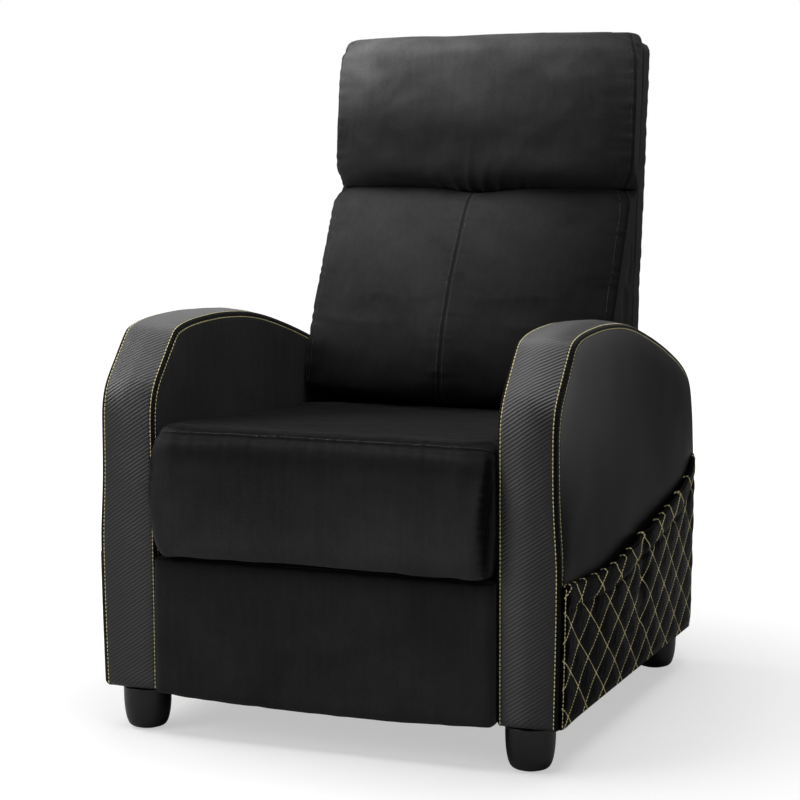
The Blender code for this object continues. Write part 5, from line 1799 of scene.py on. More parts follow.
@dataclass
class BackCushion(Cushion):
    """A cushion on the front of the reclining back."""

    half_width: float = 0.259
    bottom: float = 0.454
    top: float = 0.7985
    thickness: float = 0.194
    crown_share: float = 0.50
    shoulder: float = 0.006
    waist: float = 0.004
    front_shares: Table = ()
    crown_power: float = 3.4
    crown_tilt: float = 0.0
    channel: float = 0.0
    low_narrow: Table = ((0.0, 0.012), (0.010, 0.005), (0.022, 0.002), (0.045, 0.0))
    high_narrow: Table = ((0.0, 0.022), (0.010, 0.011), (0.019, 0.004), (0.035, 0.001), (0.050, 0.0))
    rear_narrow: float = 0.0
    slump: float = 0.0
    low_sag: float = 0.0
    high_dip: float = 0.0

    def spread(self, places: Array) -> tuple[Array, Array]:
        """Shares of the cushion's width, from the sitter's right, and of its height."""
        return (places[:, 0] / (2 * self.half_width) + 0.5,
                (places[:, 2] - self.bottom) / (self.top - self.bottom))

    def profile(self, shares: Array) -> tuple[Array, Array]:
        """The front's height and thickness shares for shares along it."""
        table = smooth_path(self.front_shares, 6)
        scaled = table * np.array([self.top - self.bottom, self.thickness])
        reach = arc_lengths(scaled)
        reach /= reach[-1]
        return np.interp(shares, reach, table[:, 0]), np.interp(shares, reach, table[:, 1])

    def shape(self, shares: Array) -> Array:
        """Places of the cushion's points."""
        across = 2 * shares[:, 0] - 1
        side = np.abs(across)
        height_share, depth_share = self.profile(shares[:, 2])
        forward = shares[:, 1]
        up = shares[:, 2] * (1 - forward) + height_share * forward
        crown = self.crown_share + self.crown_tilt * (up - 0.5)
        depth = depth_share * forward * self.thickness * (1 - crown * side ** self.crown_power)
        drop = self.shoulder * side ** 8
        height = self.top - self.bottom
        z = self.bottom + up * (height - drop * np.maximum(forward, self.rear_narrow))
        z = z - self.slump * up ** 3 * (1 - smoothstep(across, -0.25, 0.45))
        low, high = np.array(self.low_narrow), np.array(self.high_narrow)
        taken = (np.interp(up * height, low[:, 0], low[:, 1])
                 + np.interp((1 - up) * height, high[:, 0], high[:, 1]))
        x = across * (self.half_width - self.waist * np.sin(math.pi * up)
                      - taken * np.maximum(forward, self.rear_narrow * up))
        middle = bell(x, 0.055) * forward
        z = z - middle * (self.low_sag * (1 - up) ** 10 + self.high_dip * up ** 14)
        dip = self.channel * bell(across, 0.035) * forward * smoothstep(forward, 0.5, 1.0)
        y = BACK.front(z) - np.maximum(depth - dip, 0.0)
        return np.stack([x, y, z], 1)

    def held(self, shares: Array) -> Array:
        """Hold the rear face and the front's sewn edges."""
        rear = shares[:, 1] < 0.01
        on_side = (shares[:, 0] < 0.001) | (shares[:, 0] > 0.999)
        front_edge = (shares[:, 1] > 0.999) & on_side
        middle = (self.channel > 0) & (shares[:, 1] > 0.999) & (np.abs(shares[:, 0] - 0.5) < 0.004)
        low = (shares[:, 2] < 0.001) | (shares[:, 2] > 0.999)
        return np.where(rear, 1.0, np.where(front_edge, 0.9, np.where(middle | low, 0.35, 0.0)))

    def limit(self, places: Array) -> Array:
        """Keep the cushion off the frame, the arms and its neighbour."""
        kept = places.copy()
        kept[:, 1] = np.minimum(kept[:, 1], BACK.front(kept[:, 2]) - 0.0002)
        reach = self.half_width + 0.0005
        kept[:, 0] = np.clip(kept[:, 0], -reach, reach)
        middle = bell(kept[:, 0], 0.055)
        kept[:, 2] = np.clip(kept[:, 2], self.bottom - 0.0002 - self.low_sag * middle,
                             self.top + 0.0002 - self.high_dip * middle)
        return kept

    def seams(self, shares: Array, places: Array) -> list[Array]:
        """The two front side seams, and the middle one where there is a channel."""
        found = [edge_path(shares, places, {0: value, 1: 1.0}, 2) for value in (0.0, 1.0)]
        if self.channel:
            found.append(edge_path(shares, places, {0: 0.5, 1: 1.0}, 2))
        return found


@dataclass
class LumbarCushion(BackCushion):
    """The tall lower back cushion with its centre seam."""

    fold_pitch: float = 0.027
    fold_depth: float = 0.0009
    # Painted highlight at the top of the sitter's right; painted shade at the foot and on the sitter's
    # left.
    pale: float = 0.16
    dark_foot: float = 0.75
    dark_left: float = 0.62

    def brushed(self, places: Array) -> Array:
        """Painted highlight towards the top of the sitter's right."""
        across, up = self.spread(places)
        return self.pale * smoothstep(up, 0.45, 0.95) * np.clip(1.2 - across, 0, 1)

    def shaded(self, places: Array) -> Array:
        """Painted shade at the foot and towards the sitter's left."""
        across, up = self.spread(places)
        low = self.dark_foot * (1 - smoothstep(up, 0.08, 0.42))
        return 1 - (1 - low) * (1 - self.dark_left * smoothstep(across, 0.55, 1.0))

    def extra(self, shares: Array, places: Array, normals: Array) -> Array:
        """Slack folds that run in from both side seams."""
        front = smoothstep(shares[:, 1], 0.9, 1.0)
        side = np.minimum(shares[:, 0], 1 - shares[:, 0]) * 2 * self.half_width
        wave = places[:, 2] / self.fold_pitch + 0.6 * soft_noise(places[:, 2:], 0.1, 4)
        folds = self.fold_depth * np.sin(TURN * wave) * np.exp(-side / 0.020) * front
        return places + normals * folds[:, None]


@dataclass
class HeadCushion(BackCushion):
    """The head cushion, gathered where it meets the lumbar cushion."""

    folds: tuple[tuple[float, float, float, float], ...] = (
        (-0.026, 0.028, 0.0034, -0.20), (-0.004, 0.040, 0.0040, 0.05), (0.018, 0.032, 0.0034, 0.30),
        (0.043, 0.022, 0.0024, 0.45), (-0.058, 0.020, 0.0020, -0.40), (0.075, 0.016, 0.0016, 0.55),
    )
    # Painted highlight towards the top, fading towards the sitter's left.
    pale: float = 0.95
    faded: float = 0.92

    def brushed(self, places: Array) -> Array:
        """Painted highlight towards the top, most at the sitter's right."""
        across, up = self.spread(places)
        roll = 1 - 0.30 * smoothstep(up, 0.90, 1.0)
        faded = 1 - self.faded * np.clip(across, 0, 1) ** 1.5
        return self.pale * roll * smoothstep(up, 0.33, 0.90) * faded

    def extra(self, shares: Array, places: Array, normals: Array) -> Array:
        """Press in the short folds at the middle of the lower edge."""
        above = places[:, 2] - self.bottom
        front = smoothstep(shares[:, 1], 0.6, 0.95)
        moved = places.copy()
        for x, length, depth, slant in self.folds:
            off = places[:, 0] - (x + slant * above)
            fade = np.exp(-np.maximum(above, 0) / length) * front
            press = -depth * bell(off, 0.0042) + 0.4 * depth * bell(off - 0.010, 0.006)
            moved += normals * (press * fade)[:, None]
        return moved


@dataclass
class SeatCushion(Cushion):
    """The seat with its rolled front, which hangs before the seat's frame."""

    half_width: float = 0.2625
    top: float = 0.4725
    rear: float = 0.150
    front: float = -0.400
    floor: float = 0.3463
    bolster_bottom: float = 0.2762
    ledge: float = -0.3176
    crown: float = 0.010
    waist: float = 0.0025
    side_round: float = 0.014
    corner_sweep: float = 0.024
    corner_reach: float = 0.034
    corner_roll: float = 0.015
    foot_drawn: float = 0.013
    top_shares: Table = (
        (0.0, 0.66), (0.006, 0.76), (0.022, 0.815), (0.060, 0.835), (0.109, 0.845), (0.273, 0.900),
        (0.492, 0.965), (0.711, 1.0), (0.857, 0.995), (0.925, 0.970), (0.955, 0.925), (0.968, 0.880),
    )
    front_shares: Table = (
        (0.968, 0.880), (0.986, 0.770), (0.996, 0.600), (1.0, 0.30), (0.999, -0.05), (0.993, -0.300),
        (0.980, -0.455), (0.953, -0.534), (0.905, -0.5560),
    )
    under: Table = (
        (0.0, 0.0), (0.50, 0.0), (0.850, 0.0), (0.852, -0.10), (0.855, -0.30), (0.862, -0.46),
        (0.878, -0.548), (0.905, -0.5560),
    )

    def curve(self, table: Sequence[Sequence[float]], smooth: bool = True) -> Array:
        """Places (y, z) of one of the seat's profile curves."""
        shares = smooth_path(table, 6) if smooth else np.asarray(table, float)
        return np.stack([self.rear + shares[:, 0] * (self.front - self.rear),
                         self.floor + shares[:, 1] * (self.top - self.floor)], 1)

    @staticmethod
    def along(curve: Array, shares: Array) -> Array:
        """Places at shares of a curve's length."""
        reach = arc_lengths(curve)
        return np.stack([np.interp(shares, reach / reach[-1], curve[:, axis]) for axis in range(2)], 1)

    def section(self, forward: Array, up: Array) -> Array:
        """Places (y, z) inside the seat's side outline, for shares of its depth and height."""
        top, under = self.curve(self.top_shares), self.curve(self.under, smooth=False)
        front = self.curve(self.front_shares)[::-1]
        rear = np.array([under[0], top[0]])
        u, v = forward[:, None], up[:, None]
        corners = ((1 - u) * (1 - v) * under[0] + u * (1 - v) * under[-1]
                   + (1 - u) * v * top[0] + u * v * top[-1])
        return ((1 - v) * self.along(under, forward) + v * self.along(top, forward)
                + (1 - u) * self.along(rear, up) + u * self.along(front, up) - corners)

    def shape(self, shares: Array) -> Array:
        """Places of the seat's points."""
        across = 2 * shares[:, 0] - 1
        side = np.abs(across)
        forward, up = shares[:, 1], shares[:, 2]
        rows = self.section(forward, up)
        high = np.clip((rows[:, 1] - self.floor) / (self.top - self.floor), 0, 1)
        depth_share = np.clip((rows[:, 0] - self.rear) / (self.front - self.rear), 0, 1)
        pulled = self.waist * np.sin(math.pi * depth_share)
        ahead = smoothstep(forward, 0.84, 1.0)
        drawn = self.foot_drawn * np.clip((self.floor + 0.075 - rows[:, 1]) / 0.145, 0, 1) ** 1.3
        half = self.half_width - pulled * (1 - ahead) + (0.0015 - drawn) * ahead
        x = across * half
        over = np.clip((np.abs(x) - (half - self.side_round)) / self.side_round, 0, 1)
        turned = self.side_round * (1 - np.sqrt(1 - over ** 2)) * ahead * 0.9
        swept = (self.corner_sweep * smoothstep(side, 0.84, 1.0) * smoothstep(forward, 0.86, 1.0)
                 * smoothstep(up, 0.5, 1.0))
        edge = np.clip((np.abs(x) - (half - self.corner_reach)) / self.corner_reach, 0, 1)
        rolled = (self.corner_roll * (1 - np.sqrt(1 - edge ** 2)) * smoothstep(forward, 0.70, 0.95)
                  * high ** 4)
        lowered = (self.crown * side ** 4 * (1 - 0.8 * ahead) + 0.003 * over) * high + rolled
        return np.stack([x, rows[:, 0] + swept + turned, rows[:, 1] - lowered], 1)

    def held(self, shares: Array) -> Array:
        """Hold the underside, the rear and the front seam."""
        under = shares[:, 2] < 0.001
        rear = shares[:, 1] < 0.001
        seam = (shares[:, 1] > 0.999) & (shares[:, 2] > 0.999)
        side = ((shares[:, 0] < 0.001) | (shares[:, 0] > 0.999)) & (shares[:, 1] > 0.999)
        return np.where(under | rear, 1.0, np.where(seam, 0.85, np.where(side, 0.7, 0.0)))

    def limit(self, places: Array) -> Array:
        """Keep the seat between the arms and on its frame."""
        kept = places.copy()
        reach = self.half_width + 0.0005 + 0.0030 * smoothstep(-kept[:, 1], 0.362, 0.372)
        kept[:, 0] = np.clip(kept[:, 0], -reach, reach)
        behind = kept[:, 1] > self.ledge
        kept[:, 2] = np.where(behind, np.maximum(kept[:, 2], self.floor + 0.0001), kept[:, 2])
        kept[:, 2] = np.maximum(kept[:, 2], self.bolster_bottom - 0.0015)
        kept[:, 1] = np.clip(kept[:, 1], self.front - 0.004, self.rear + 0.001)
        return kept

    def shaded(self, places: Array) -> Array:
        """Painted shade on the bolster's ends, with a ragged edge, and a band of it under the front
        seam.
        """
        side = self.half_width - np.abs(places[:, 0])
        ahead = smoothstep(-places[:, 1], 0.352, 0.372)
        ragged = 0.002 * soft_noise(places[:, 2:], 0.011, 14)
        ends = (1 - smoothstep(side + ragged, 0.0040, 0.0130)) * ahead
        under_seam = 0.35 * smoothstep(-places[:, 1], 0.370, 0.385) * bell(places[:, 2] - 0.434, 0.016)
        return np.maximum(ends, under_seam)

    def brushed(self, places: Array) -> Array:
        """A little painted highlight towards the foot of the roll."""
        return 0.10 * (1 - smoothstep(places[:, 2], 0.28, 0.43)) * smoothstep(-places[:, 1], 0.33, 0.37)

    def seams(self, shares: Array, places: Array) -> list[Array]:
        """The seam across the front of the top, and the bolster's two side seams."""
        found = [edge_path(shares, places, {1: 1.0, 2: 1.0}, 0)]
        found += [edge_path(shares, places, {0: value, 1: 1.0}, 2) for value in (0.0, 1.0)]
        return found


@dataclass
class FootrestPad(Cushion):
    """The padded panel on the front of the footrest."""

    half_width: float = 0.2654
    bottom: float = 0.066
    top: float = 0.2705
    front: float = -0.3735
    rear: float = -0.3443
    corner: float = 0.007
    sag: float = 0.0075

    def shape(self, shares: Array) -> Array:
        """Places of the pad's points."""
        across = 2 * shares[:, 0] - 1
        upright = 2 * shares[:, 2] - 1
        forward = shares[:, 1]
        middle = (self.top + self.bottom) / 2
        half_height = (self.top - self.bottom) / 2
        x, z = across * self.half_width, upright * half_height
        over_x = np.maximum(np.abs(x) - (self.half_width - self.corner), 0)
        over_z = np.maximum(np.abs(z) - (half_height - self.corner), 0)
        both = np.hypot(over_x, over_z)
        pull = np.where(both > self.corner, self.corner / np.maximum(both, 1e-9), 1.0)
        x = np.sign(x) * (np.abs(x) - over_x * (1 - pull))
        z = np.sign(z) * (np.abs(z) - over_z * (1 - pull))
        edge = np.minimum(self.half_width - np.abs(x), half_height - np.abs(z))
        face = 0.007 * np.exp(-np.maximum(edge, 0) / 0.007)
        y = self.rear + (self.front - self.rear + face) * forward
        z = z - self.sag * (1 - across ** 2) * (1 - shares[:, 2]) ** 2
        return np.stack([x, y, middle + z], 1)

    def shaded(self, places: Array) -> Array:
        """Painted shadow under the seat's roll, fading downwards."""
        return 0.97 * np.exp(-np.maximum(self.top - places[:, 2], 0) / 0.011)

    def held(self, shares: Array) -> Array:
        """Hold the pad's back and, less firmly, its edges."""
        rear = shares[:, 1] < 0.001
        edge = np.minimum(np.minimum(shares[:, 0], 1 - shares[:, 0]) * 2 * self.half_width,
                          np.minimum(shares[:, 2], 1 - shares[:, 2]) * (self.top - self.bottom))
        return np.where(rear, 1.0, np.where(edge < 0.001, 0.6, 0.0))

    def limit(self, places: Array) -> Array:
        """Keep the pad between the arms and on its board."""
        return np.clip(places, (-self.half_width, self.front - 0.004, self.bottom - self.sag),
                       (self.half_width, self.rear, self.top))

    def seams(self, shares: Array, places: Array) -> list[Array]:
        """The pad is wrapped in one piece, so it has no seam on show."""
        return []


LUMBAR_FRONT = (
    (0.0, 0.60), (0.005, 0.80), (0.03, 0.92), (0.08, 0.975), (0.15, 1.0), (0.28, 0.995), (0.40, 0.95),
    (0.53, 0.86), (0.65, 0.765), (0.78, 0.640), (0.86, 0.565), (0.92, 0.495), (0.965, 0.400),
    (0.990, 0.290), (1.0, 0.160),
)
HEAD_FRONT = (
    (0.0, 0.30), (0.006, 0.52), (0.030, 0.72), (0.075, 0.860), (0.140, 0.945), (0.23, 0.990),
    (0.36, 1.0), (0.52, 1.0), (0.72, 0.985), (0.86, 0.945), (0.93, 0.880), (0.975, 0.760),
    (0.996, 0.560), (1.0, 0.300),
)


class Upholstery:
    """The seat, back, head and footrest cushions with their dark top stitching."""

    thread = StitchRun(pitch=0.0042, radius=0.00060, share=0.62)
    lift = 0.0004

    def build(self) -> None:
        """Make every cushion."""
        self.seat()
        self.lumbar()
        self.head()
        FootrestPad("footrest_velvet", "footrest", "footrest_pad", (76, 6, 30), fill=0.75,
                    swell=0.0025, stuffing=Stuffing(cap=0.012), seed=60).build()

    def sew(self, name: str, surface: Surface, rows: Sequence[tuple[Array, Place]], body: str) -> None:
        """Sew rows beside a cushion's seams.

        Args:
            name: The cushion's short name.
            surface: Its surface.
            rows: For each row the seam's path and the way from the seam to the row.
            body: The CAD body that the cushion moves with.
        """
        laid = [surface.lay(resample(path + np.array(offset), 0.004), self.lift)
                for path, offset in rows]
        self.thread.sew(f"{name}_stitches", laid, DARK_THREAD, body)

    def seat(self) -> None:
        """Make the seat and the row behind its front seam."""
        seat = SeatCushion("seat_velvet", "seat", "seat_cushion", (76, 84, 26), fill=0.8,
                           swell=0.005, seam_depth=0.0016, pucker=0.0009, seed=10)
        _, surface = seat.build()
        self.sew("seat", surface, [(seat.paths[0][4:-4], (0.0, 0.0058, 0.001))], "seat")

    def lumbar(self) -> None:
        """Make the lumbar cushion, its paired centre rows and its side rows."""
        cushion = LumbarCushion("lumbar_velvet", "back", "lumbar_cushion", (76, 30, 54), fill=0.8,
                                swell=0.0045, half_width=0.2635, waist=0.0005, crown_share=0.43,
                                crown_tilt=0.30, channel=0.0012, seam_depth=0.0010, pucker=0.0009,
                                high_narrow=((0.0, 0.017), (0.010, 0.007), (0.019, 0.002),
                                             (0.035, 0.0)),
                                high_dip=0.0075, front_shares=LUMBAR_FRONT, seed=20)
        _, surface = cushion.build()
        right, left, middle = cushion.paths
        self.sew("lumbar", surface, [(middle[6:-4], (-0.0048, 0.0, 0.0)),
                                     (middle[6:-4], (0.0048, 0.0, 0.0)),
                                     (right[8:-4], (0.0140, -0.001, 0.0)),
                                     (left[8:-4], (-0.0140, -0.001, 0.0))], "back")

    def head(self) -> None:
        """Make the head cushion and its side rows."""
        cushion = HeadCushion("head_velvet", "back", "head_cushion", (78, 16, 42), fill=0.8,
                              swell=0.0035, half_width=0.265, bottom=0.799, top=1.0555,
                              thickness=0.096, crown_share=0.66, crown_power=4.0, shoulder=0.010,
                              waist=0.001, rear_narrow=0.6, slump=0.0042, seam_depth=0.0010,
                              pucker=0.0022,
                              low_narrow=((0.0, 0.018), (0.021, 0.007), (0.036, 0.003), (0.059, 0.001),
                                          (0.080, 0.0)),
                              high_narrow=((0.0, 0.018), (0.006, 0.013), (0.027, 0.005), (0.057, 0.002),
                                           (0.095, 0.0)),
                              low_sag=0.006, front_shares=HEAD_FRONT, seed=30)
        _, surface = cushion.build()
        right, left = cushion.paths
        self.sew("head", surface, [(right[6:-6], (0.0075, -0.001, 0.0)),
                                   (left[6:-6], (-0.0075, -0.001, 0.0))], "back")


@dataclass
class BackCover:
    """The fabric shell over the back's rear, sides and top."""

    half_width: float = 0.2640
    top_half_width: float = 0.2655
    bottom: float = 0.345
    top: float = 1.044
    depth: float = 0.0468
    thickness: float = 0.0036
    crown: float = 0.006
    corner: float = 0.020
    edge_round: float = 0.010
    pucker: float = 0.0008
    seam_depth: float = 0.0014
    uneven: float = 0.0009

    def shape(self, shares: Array) -> Array:
        """Places of the shell's points."""
        across, rearward, up = 2 * shares[:, 0] - 1, shares[:, 1], shares[:, 2]
        height = self.top - self.bottom
        z = self.bottom + up * height
        half = self.half_width + (self.top_half_width - self.half_width) * up
        x = across * half
        over = np.maximum(z - (self.top - self.corner), 0)
        reach = self.corner - np.sqrt(np.maximum(self.corner ** 2 - over ** 2, 0))
        x = np.sign(x) * np.minimum(np.abs(x), half - reach)
        edge = np.minimum(half - np.abs(x), self.top - z)
        rolled = self.edge_round * bell(np.maximum(edge, 0), 0.006) * 0.45
        dome = self.crown * (1 - across ** 4) * np.sin(math.pi * np.clip(up, 0, 1)) ** 0.5
        y = (BACK.rear(z) - self.depth * (1 - rearward)
             + (dome - rolled) * smoothstep(rearward, 0.6, 1.0))
        return np.stack([x, y, z], 1)

    def build(self) -> Object:
        """Make the shell, its seams and its stitching."""
        shares, faces = block_grid((70, 8, 90), ("y0", "z0"))
        obj = make_skin("back_cover_velvet", self.shape(shares), faces, turn=False)
        places, normals = coordinates(obj), point_normals(obj)
        seam = np.zeros(len(places))
        paths = [edge_path(shares, places, {0: value, 1: 1.0}, 2) for value in (0.0, 1.0)]
        paths.append(edge_path(shares, places, {1: 1.0, 2: 1.0}, 0))
        for index, path in enumerate(paths):
            far, which = distances(places, path)
            ripple = soft_noise(arc_lengths(path)[which][:, None], 0.03, 70 + index)
            folds = self.pucker * ripple * np.exp(-far / 0.02) - self.seam_depth * bell(far, 0.004)
            places = places + normals * folds[:, None]
            seam = np.maximum(seam, bell(far, 0.003))
        places += normals * (self.uneven * soft_noise(places, 0.12, 77))[:, None]
        put_coordinates(obj, places)
        # The seam mask puckers the velvet and paints shade along the seams.
        put_values(obj, "seam", seam)
        shell = obj.modifiers.new("shell", "SOLIDIFY")
        shell.thickness = self.thickness
        shell.offset = -1.0
        settle(obj)
        dress(obj, VELVET, "back", ["back_cover"])
        surface = Surface(obj)
        rows = [surface.lay(resample(path[trim:-trim] + np.array(offset), 0.004), 0.0001)
                for path, trim, offset in ((paths[0], 4, (0.007, 0.004, 0.0)),
                                           (paths[1], 4, (-0.007, 0.004, 0.0)),
                                           (paths[2], 6, (0.0, 0.004, -0.007)))]
        StitchRun(pitch=0.0052, radius=0.00042).sew("back_cover_stitches", rows, DARK_THREAD, "back")
        return obj


@dataclass
class FrontLining:
    """The cloth over the back frame's front, below the lumbar cushion."""

    half_width: float = 0.2590
    bottom: float = 0.3475
    top: float = 0.4530
    thickness: float = 0.0010
    gap: float = 0.0003

    def build(self) -> Object:
        """Make the cloth, a little slack between its edges."""
        across, up = np.meshgrid(np.linspace(-1, 1, 44), np.linspace(0, 1, 12), indexing="ij")
        z = self.bottom + up * (self.top - self.bottom)
        slack = 0.0012 * np.sin(math.pi * up) * (1 - across ** 2)
        rear = BACK.front(z) - self.gap
        front = rear - self.thickness - slack
        grids = np.stack([np.stack([across * self.half_width, y, z], 2) for y in (front, rear)])
        lining = make_skin("back_front_lining", grids, sheet_faces(*across.shape))
        dress(lining, LINING, "back")
        return lining


@dataclass
class RearPanel:
    """The velvet-wrapped board between the arms at the rear."""

    half_width: float = 0.2655
    rear: float = 0.373
    front: float = 0.355
    bottom: float = 0.072
    top: float = 0.322
    round: float = 0.006
    bulge: float = 0.0018
    uneven: float = 0.0005

    def build(self) -> Object:
        """Make the panel with rounded edges and a soft face."""
        shares, faces = block_grid((64, 4, 32))
        across, deep, upright = (2 * shares - 1).T
        half_height, half_depth = (self.top - self.bottom) / 2, (self.rear - self.front) / 2
        size = np.array([self.half_width, half_depth, half_height])
        flat = np.stack([across, deep, upright], 1) * size
        core = np.clip(flat, -(size - self.round), size - self.round)
        out = flat - core
        length = np.linalg.norm(out, axis=1, keepdims=True)
        flat = core + out * np.minimum(1.0, self.round / np.maximum(length, 1e-9))
        flat[:, 1] += self.bulge * np.where(deep > 0.99, (1 - across ** 6) * (1 - upright ** 4), 0.0)
        places = flat + np.array([0.0, (self.rear + self.front) / 2, (self.top + self.bottom) / 2])
        obj = make_skin("rear_panel_velvet", places, faces, turn=False)
        spots = coordinates(obj)
        uneven = self.uneven * soft_noise(spots, 0.09, 88)
        put_coordinates(obj, spots + point_normals(obj) * uneven[:, None])
        dress(obj, VELVET, "base", ["rear_panel"])
        return obj


# ---------------------------------------------------------------------------------------------
# Feet and frame


@dataclass
class Foot:
    """A turned foot with a rounded tip and a glide under it."""

    side: Side
    end: str
    y: float
    x: float = 0.305
    height: float = 0.064
    top_radius: float = 0.036
    steps: int = 56
    profile: Table = (
        (0.0, 1.0), (0.60, 1.0), (0.965, 1.0), (0.995, 0.985), (1.0, 0.950), (1.0, 0.82),
        (0.990, 0.64), (0.968, 0.47), (0.930, 0.32), (0.875, 0.19), (0.800, 0.095),
        (0.705, 0.042), (0.610, 0.022), (0.560, 0.018), (0.0, 0.018),
    )

    def turned(self, name: str, profile: Array) -> Object:
        """Turn a profile round the foot's own axis."""
        turns = np.linspace(0.0, TURN, self.steps, endpoint=False)
        rings = np.array([[(self.side.value * self.x + r * math.cos(t), self.y + r * math.sin(t), z)
                           for t in turns] for r, z in profile])
        return make_skin(name, rings, strip_faces(len(profile), self.steps, closed=True), merge=True)

    def build(self) -> None:
        """Make the foot and its glide."""
        word = f"{self.end}_{self.side.word}"
        coarse = np.array(self.profile) * np.array([self.top_radius, self.height])
        curve = np.vstack([coarse[:2], smooth_path(coarse[2:-1], 3), coarse[-1:]])
        foot = self.turned(f"turned_foot_{word}", curve)
        dress(foot, FOOT_PLASTIC, "base", [f"foot_{word}"])
        radius, level = 0.019, 0.018 * self.height
        disc = np.array([(0.0, 0.0), (radius - 0.001, 0.0), (radius, 0.0006), (radius, level + 0.0004),
                         (0.0, level + 0.0004)])
        glide = self.turned(f"foot_glide_{word}", disc)
        dress(glide, GLIDE, "base")


class FrameFinishes:
    """Better materials for the CAD pieces that stay."""

    kinds: tuple[tuple[tuple[str, ...], Finish], ...] = (
        (("arm_inner_board", "arm_outer_board", "arm_front_post", "arm_rear_post", "seat_front_rail",
          "seat_rear_rail", "seat_side_rail", "back_post", "back_top_rail", "back_bottom_rail",
          "footrest_board"), BIRCH),
        (("base_rail", "base_cross_tube", "swing_link", "seat_plate", "back_bracket",
          "footrest_crank", "footrest_coupler", "footrest_idler", "footrest_push_link",
          "footrest_bracket"), PAINTED_STEEL),
        (("seat_spring",), WIRE_STEEL),
        (("back_strap",), STRAP),
    )

    def build(self) -> None:
        """Give each kept node its finish."""
        for name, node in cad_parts.items():
            for stems, finish in self.kinds:
                if name.startswith(stems):
                    for place in node.material_slots:
                        place.material = finish.material()
        LOG.info("frame: finishes on %d nodes", len(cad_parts))


# ---------------------------------------------------------------------------------------------
# Studio


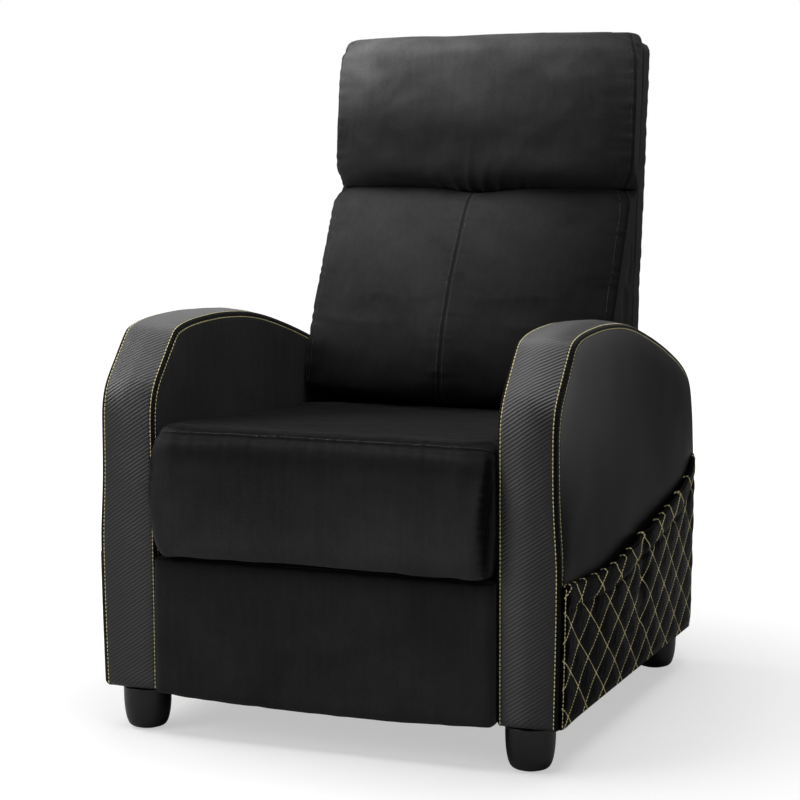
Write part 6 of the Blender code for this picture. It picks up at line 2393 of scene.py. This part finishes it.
@dataclass(frozen=True)
class Studio:
    """The camera, soft lights, white backdrop and pale floor."""

    camera_place: Place = (1.2645, -3.1930, 0.8913)
    pan: float = math.radians(21.952)
    pitch: float = math.radians(6.928)
    lens: float = 99.0
    room: float = 0.08
    mirror: float = 0.24
    lamps: tuple[tuple[str, Place, Place, tuple[float, float], float], ...] = (
        ("overhead", (0.0, -0.3, 2.7), (0.0, 0.0, 0.5), (2.6, 2.2), 46.0),
        ("high_side", (-2.6, -0.2, 2.3), (0.0, 0.0, 0.7), (1.6, 1.6), 34.0),
        ("key", (-2.3, -2.6, 1.9), (0.0, 0.0, 0.6), (1.8, 1.8), 30.0),
        ("fill", (2.9, -2.2, 1.3), (0.1, 0.0, 0.4), (1.4, 1.8), 7.0),
        ("back_left", (-1.1, 3.0, 1.6), (0.0, 0.0, 0.7), (3.0, 1.8), 3.0),
        ("back_high", (0.3, 2.4, 2.8), (0.0, 0.0, 0.6), (2.4, 1.2), 14.0),
    )
    floor_tones: tuple[float, float] = (0.60, 0.64)
    floor_level: float = -0.0006
    floor_radii: tuple[float, ...] = (0.001, 0.5, 1.0, 1.6, 2.4, 3.6, 5.5, 8.0, 12.0)

    def camera(self) -> None:
        """Set the camera where the photograph was taken from."""
        data = bpy.data.cameras.new("photo_camera")
        data.lens = self.lens
        data.sensor_width = 36.0
        data.clip_end = 60.0
        camera = new_object("photo_camera", data)
        forward = Vector((-math.sin(self.pan) * math.cos(self.pitch),
                          math.cos(self.pan) * math.cos(self.pitch), -math.sin(self.pitch)))
        camera.location = self.camera_place
        camera.rotation_euler = forward.to_track_quat("-Z", "Y").to_euler()
        bpy.context.scene.camera = camera

    @staticmethod
    def softbox(name: str, place: Place, aim: Place, size: tuple[float, float], power: float) -> None:
        """Hang a rectangular soft light that looks at a point."""
        data = bpy.data.lights.new(name, "AREA")
        data.shape = "RECTANGLE"
        data.size, data.size_y = size
        data.energy = power
        light = new_object(name, data)
        light.location = place
        light.rotation_euler = (Vector(aim) - Vector(place)).to_track_quat("-Z", "Y").to_euler()
        light.visible_camera = False

    def lights(self) -> None:
        """Hang the lights: overhead, high on the left, either side of the camera, and behind."""
        for light in self.lamps:
            self.softbox(*light)

    def backdrop(self) -> None:
        """Light the room softly and show it white to the camera and in reflections."""
        world = bpy.data.worlds.new("studio_room")
        bpy.context.scene.world = world
        world.use_nodes = True
        graph = Graph(world.node_tree)
        path = graph.add("ShaderNodeLightPath").outputs
        seen = graph.math("MAXIMUM", path["Is Camera Ray"], path["Is Transmission Ray"])
        seen = graph.math("MAXIMUM", seen, graph.times(path["Is Glossy Ray"], self.mirror))
        graph.fill(world.node_tree.nodes["Background"], Color=WHITE,
                   Strength=graph.between(seen, 0.0, 1.0, self.room, 1.0))

    def floor(self) -> None:
        """Lay a pale round floor that fades into the backdrop but keeps the shadow."""
        turns = np.linspace(0.0, TURN, 96, endpoint=False)
        rings = np.array([[(r * math.cos(t), r * math.sin(t), self.floor_level) for t in turns]
                          for r in self.floor_radii])
        floor = make_skin("studio_floor", rings, strip_faces(len(rings), 96, closed=True), merge=True,
                          turn=False)
        material = bpy.data.materials.new("pale_floor")
        material.use_nodes = True
        graph = Graph(material.node_tree)
        place = graph.place()
        tone = graph.blend(graph.noise(place, 3.0, 2.0), *map(shade, self.floor_tones))
        reach = graph.add("ShaderNodeVectorMath", {0: place}, operation="LENGTH").outputs["Value"]
        camera_ray = graph.add("ShaderNodeLightPath").outputs["Is Camera Ray"]
        glow = graph.times(graph.between(reach, 0.5, 2.2, 0.50, 1.0), camera_ray)
        graph.fill(material.node_tree.nodes["Principled BSDF"], Base_Color=tone, Roughness=0.9,
                   Specular_IOR_Level=0.0, Emission_Color=WHITE, Emission_Strength=glow)
        floor.data.materials.append(material)

    def build(self) -> None:
        """Set up the whole studio."""
        scene = bpy.context.scene
        scene.view_settings.view_transform = "Standard"
        self.camera()
        self.lights()
        self.backdrop()
        self.floor()
        LOG.info("studio: camera, six lights, backdrop and floor")


def main() -> None:
    """Dress the chair piece by piece."""
    logging.basicConfig(level=logging.INFO, format="%(name)s: %(message)s")
    Studio().build()
    FrameFinishes().build()
    for side in Side:
        ArmBand(side).build()
        ArmPanel(side, outer=True).build()
        ArmPanel(side, outer=False).build()
        QuiltedPocket(side).build()
        ArmLining(side).build()
        for end, y in (("front", -0.3195), ("rear", 0.3335)):
            Foot(side, end, y).build()
    Upholstery().build()
    BackCover().build()
    FrontLining().build()
    RearPanel().build()


if __name__ == "__main__":
    main()
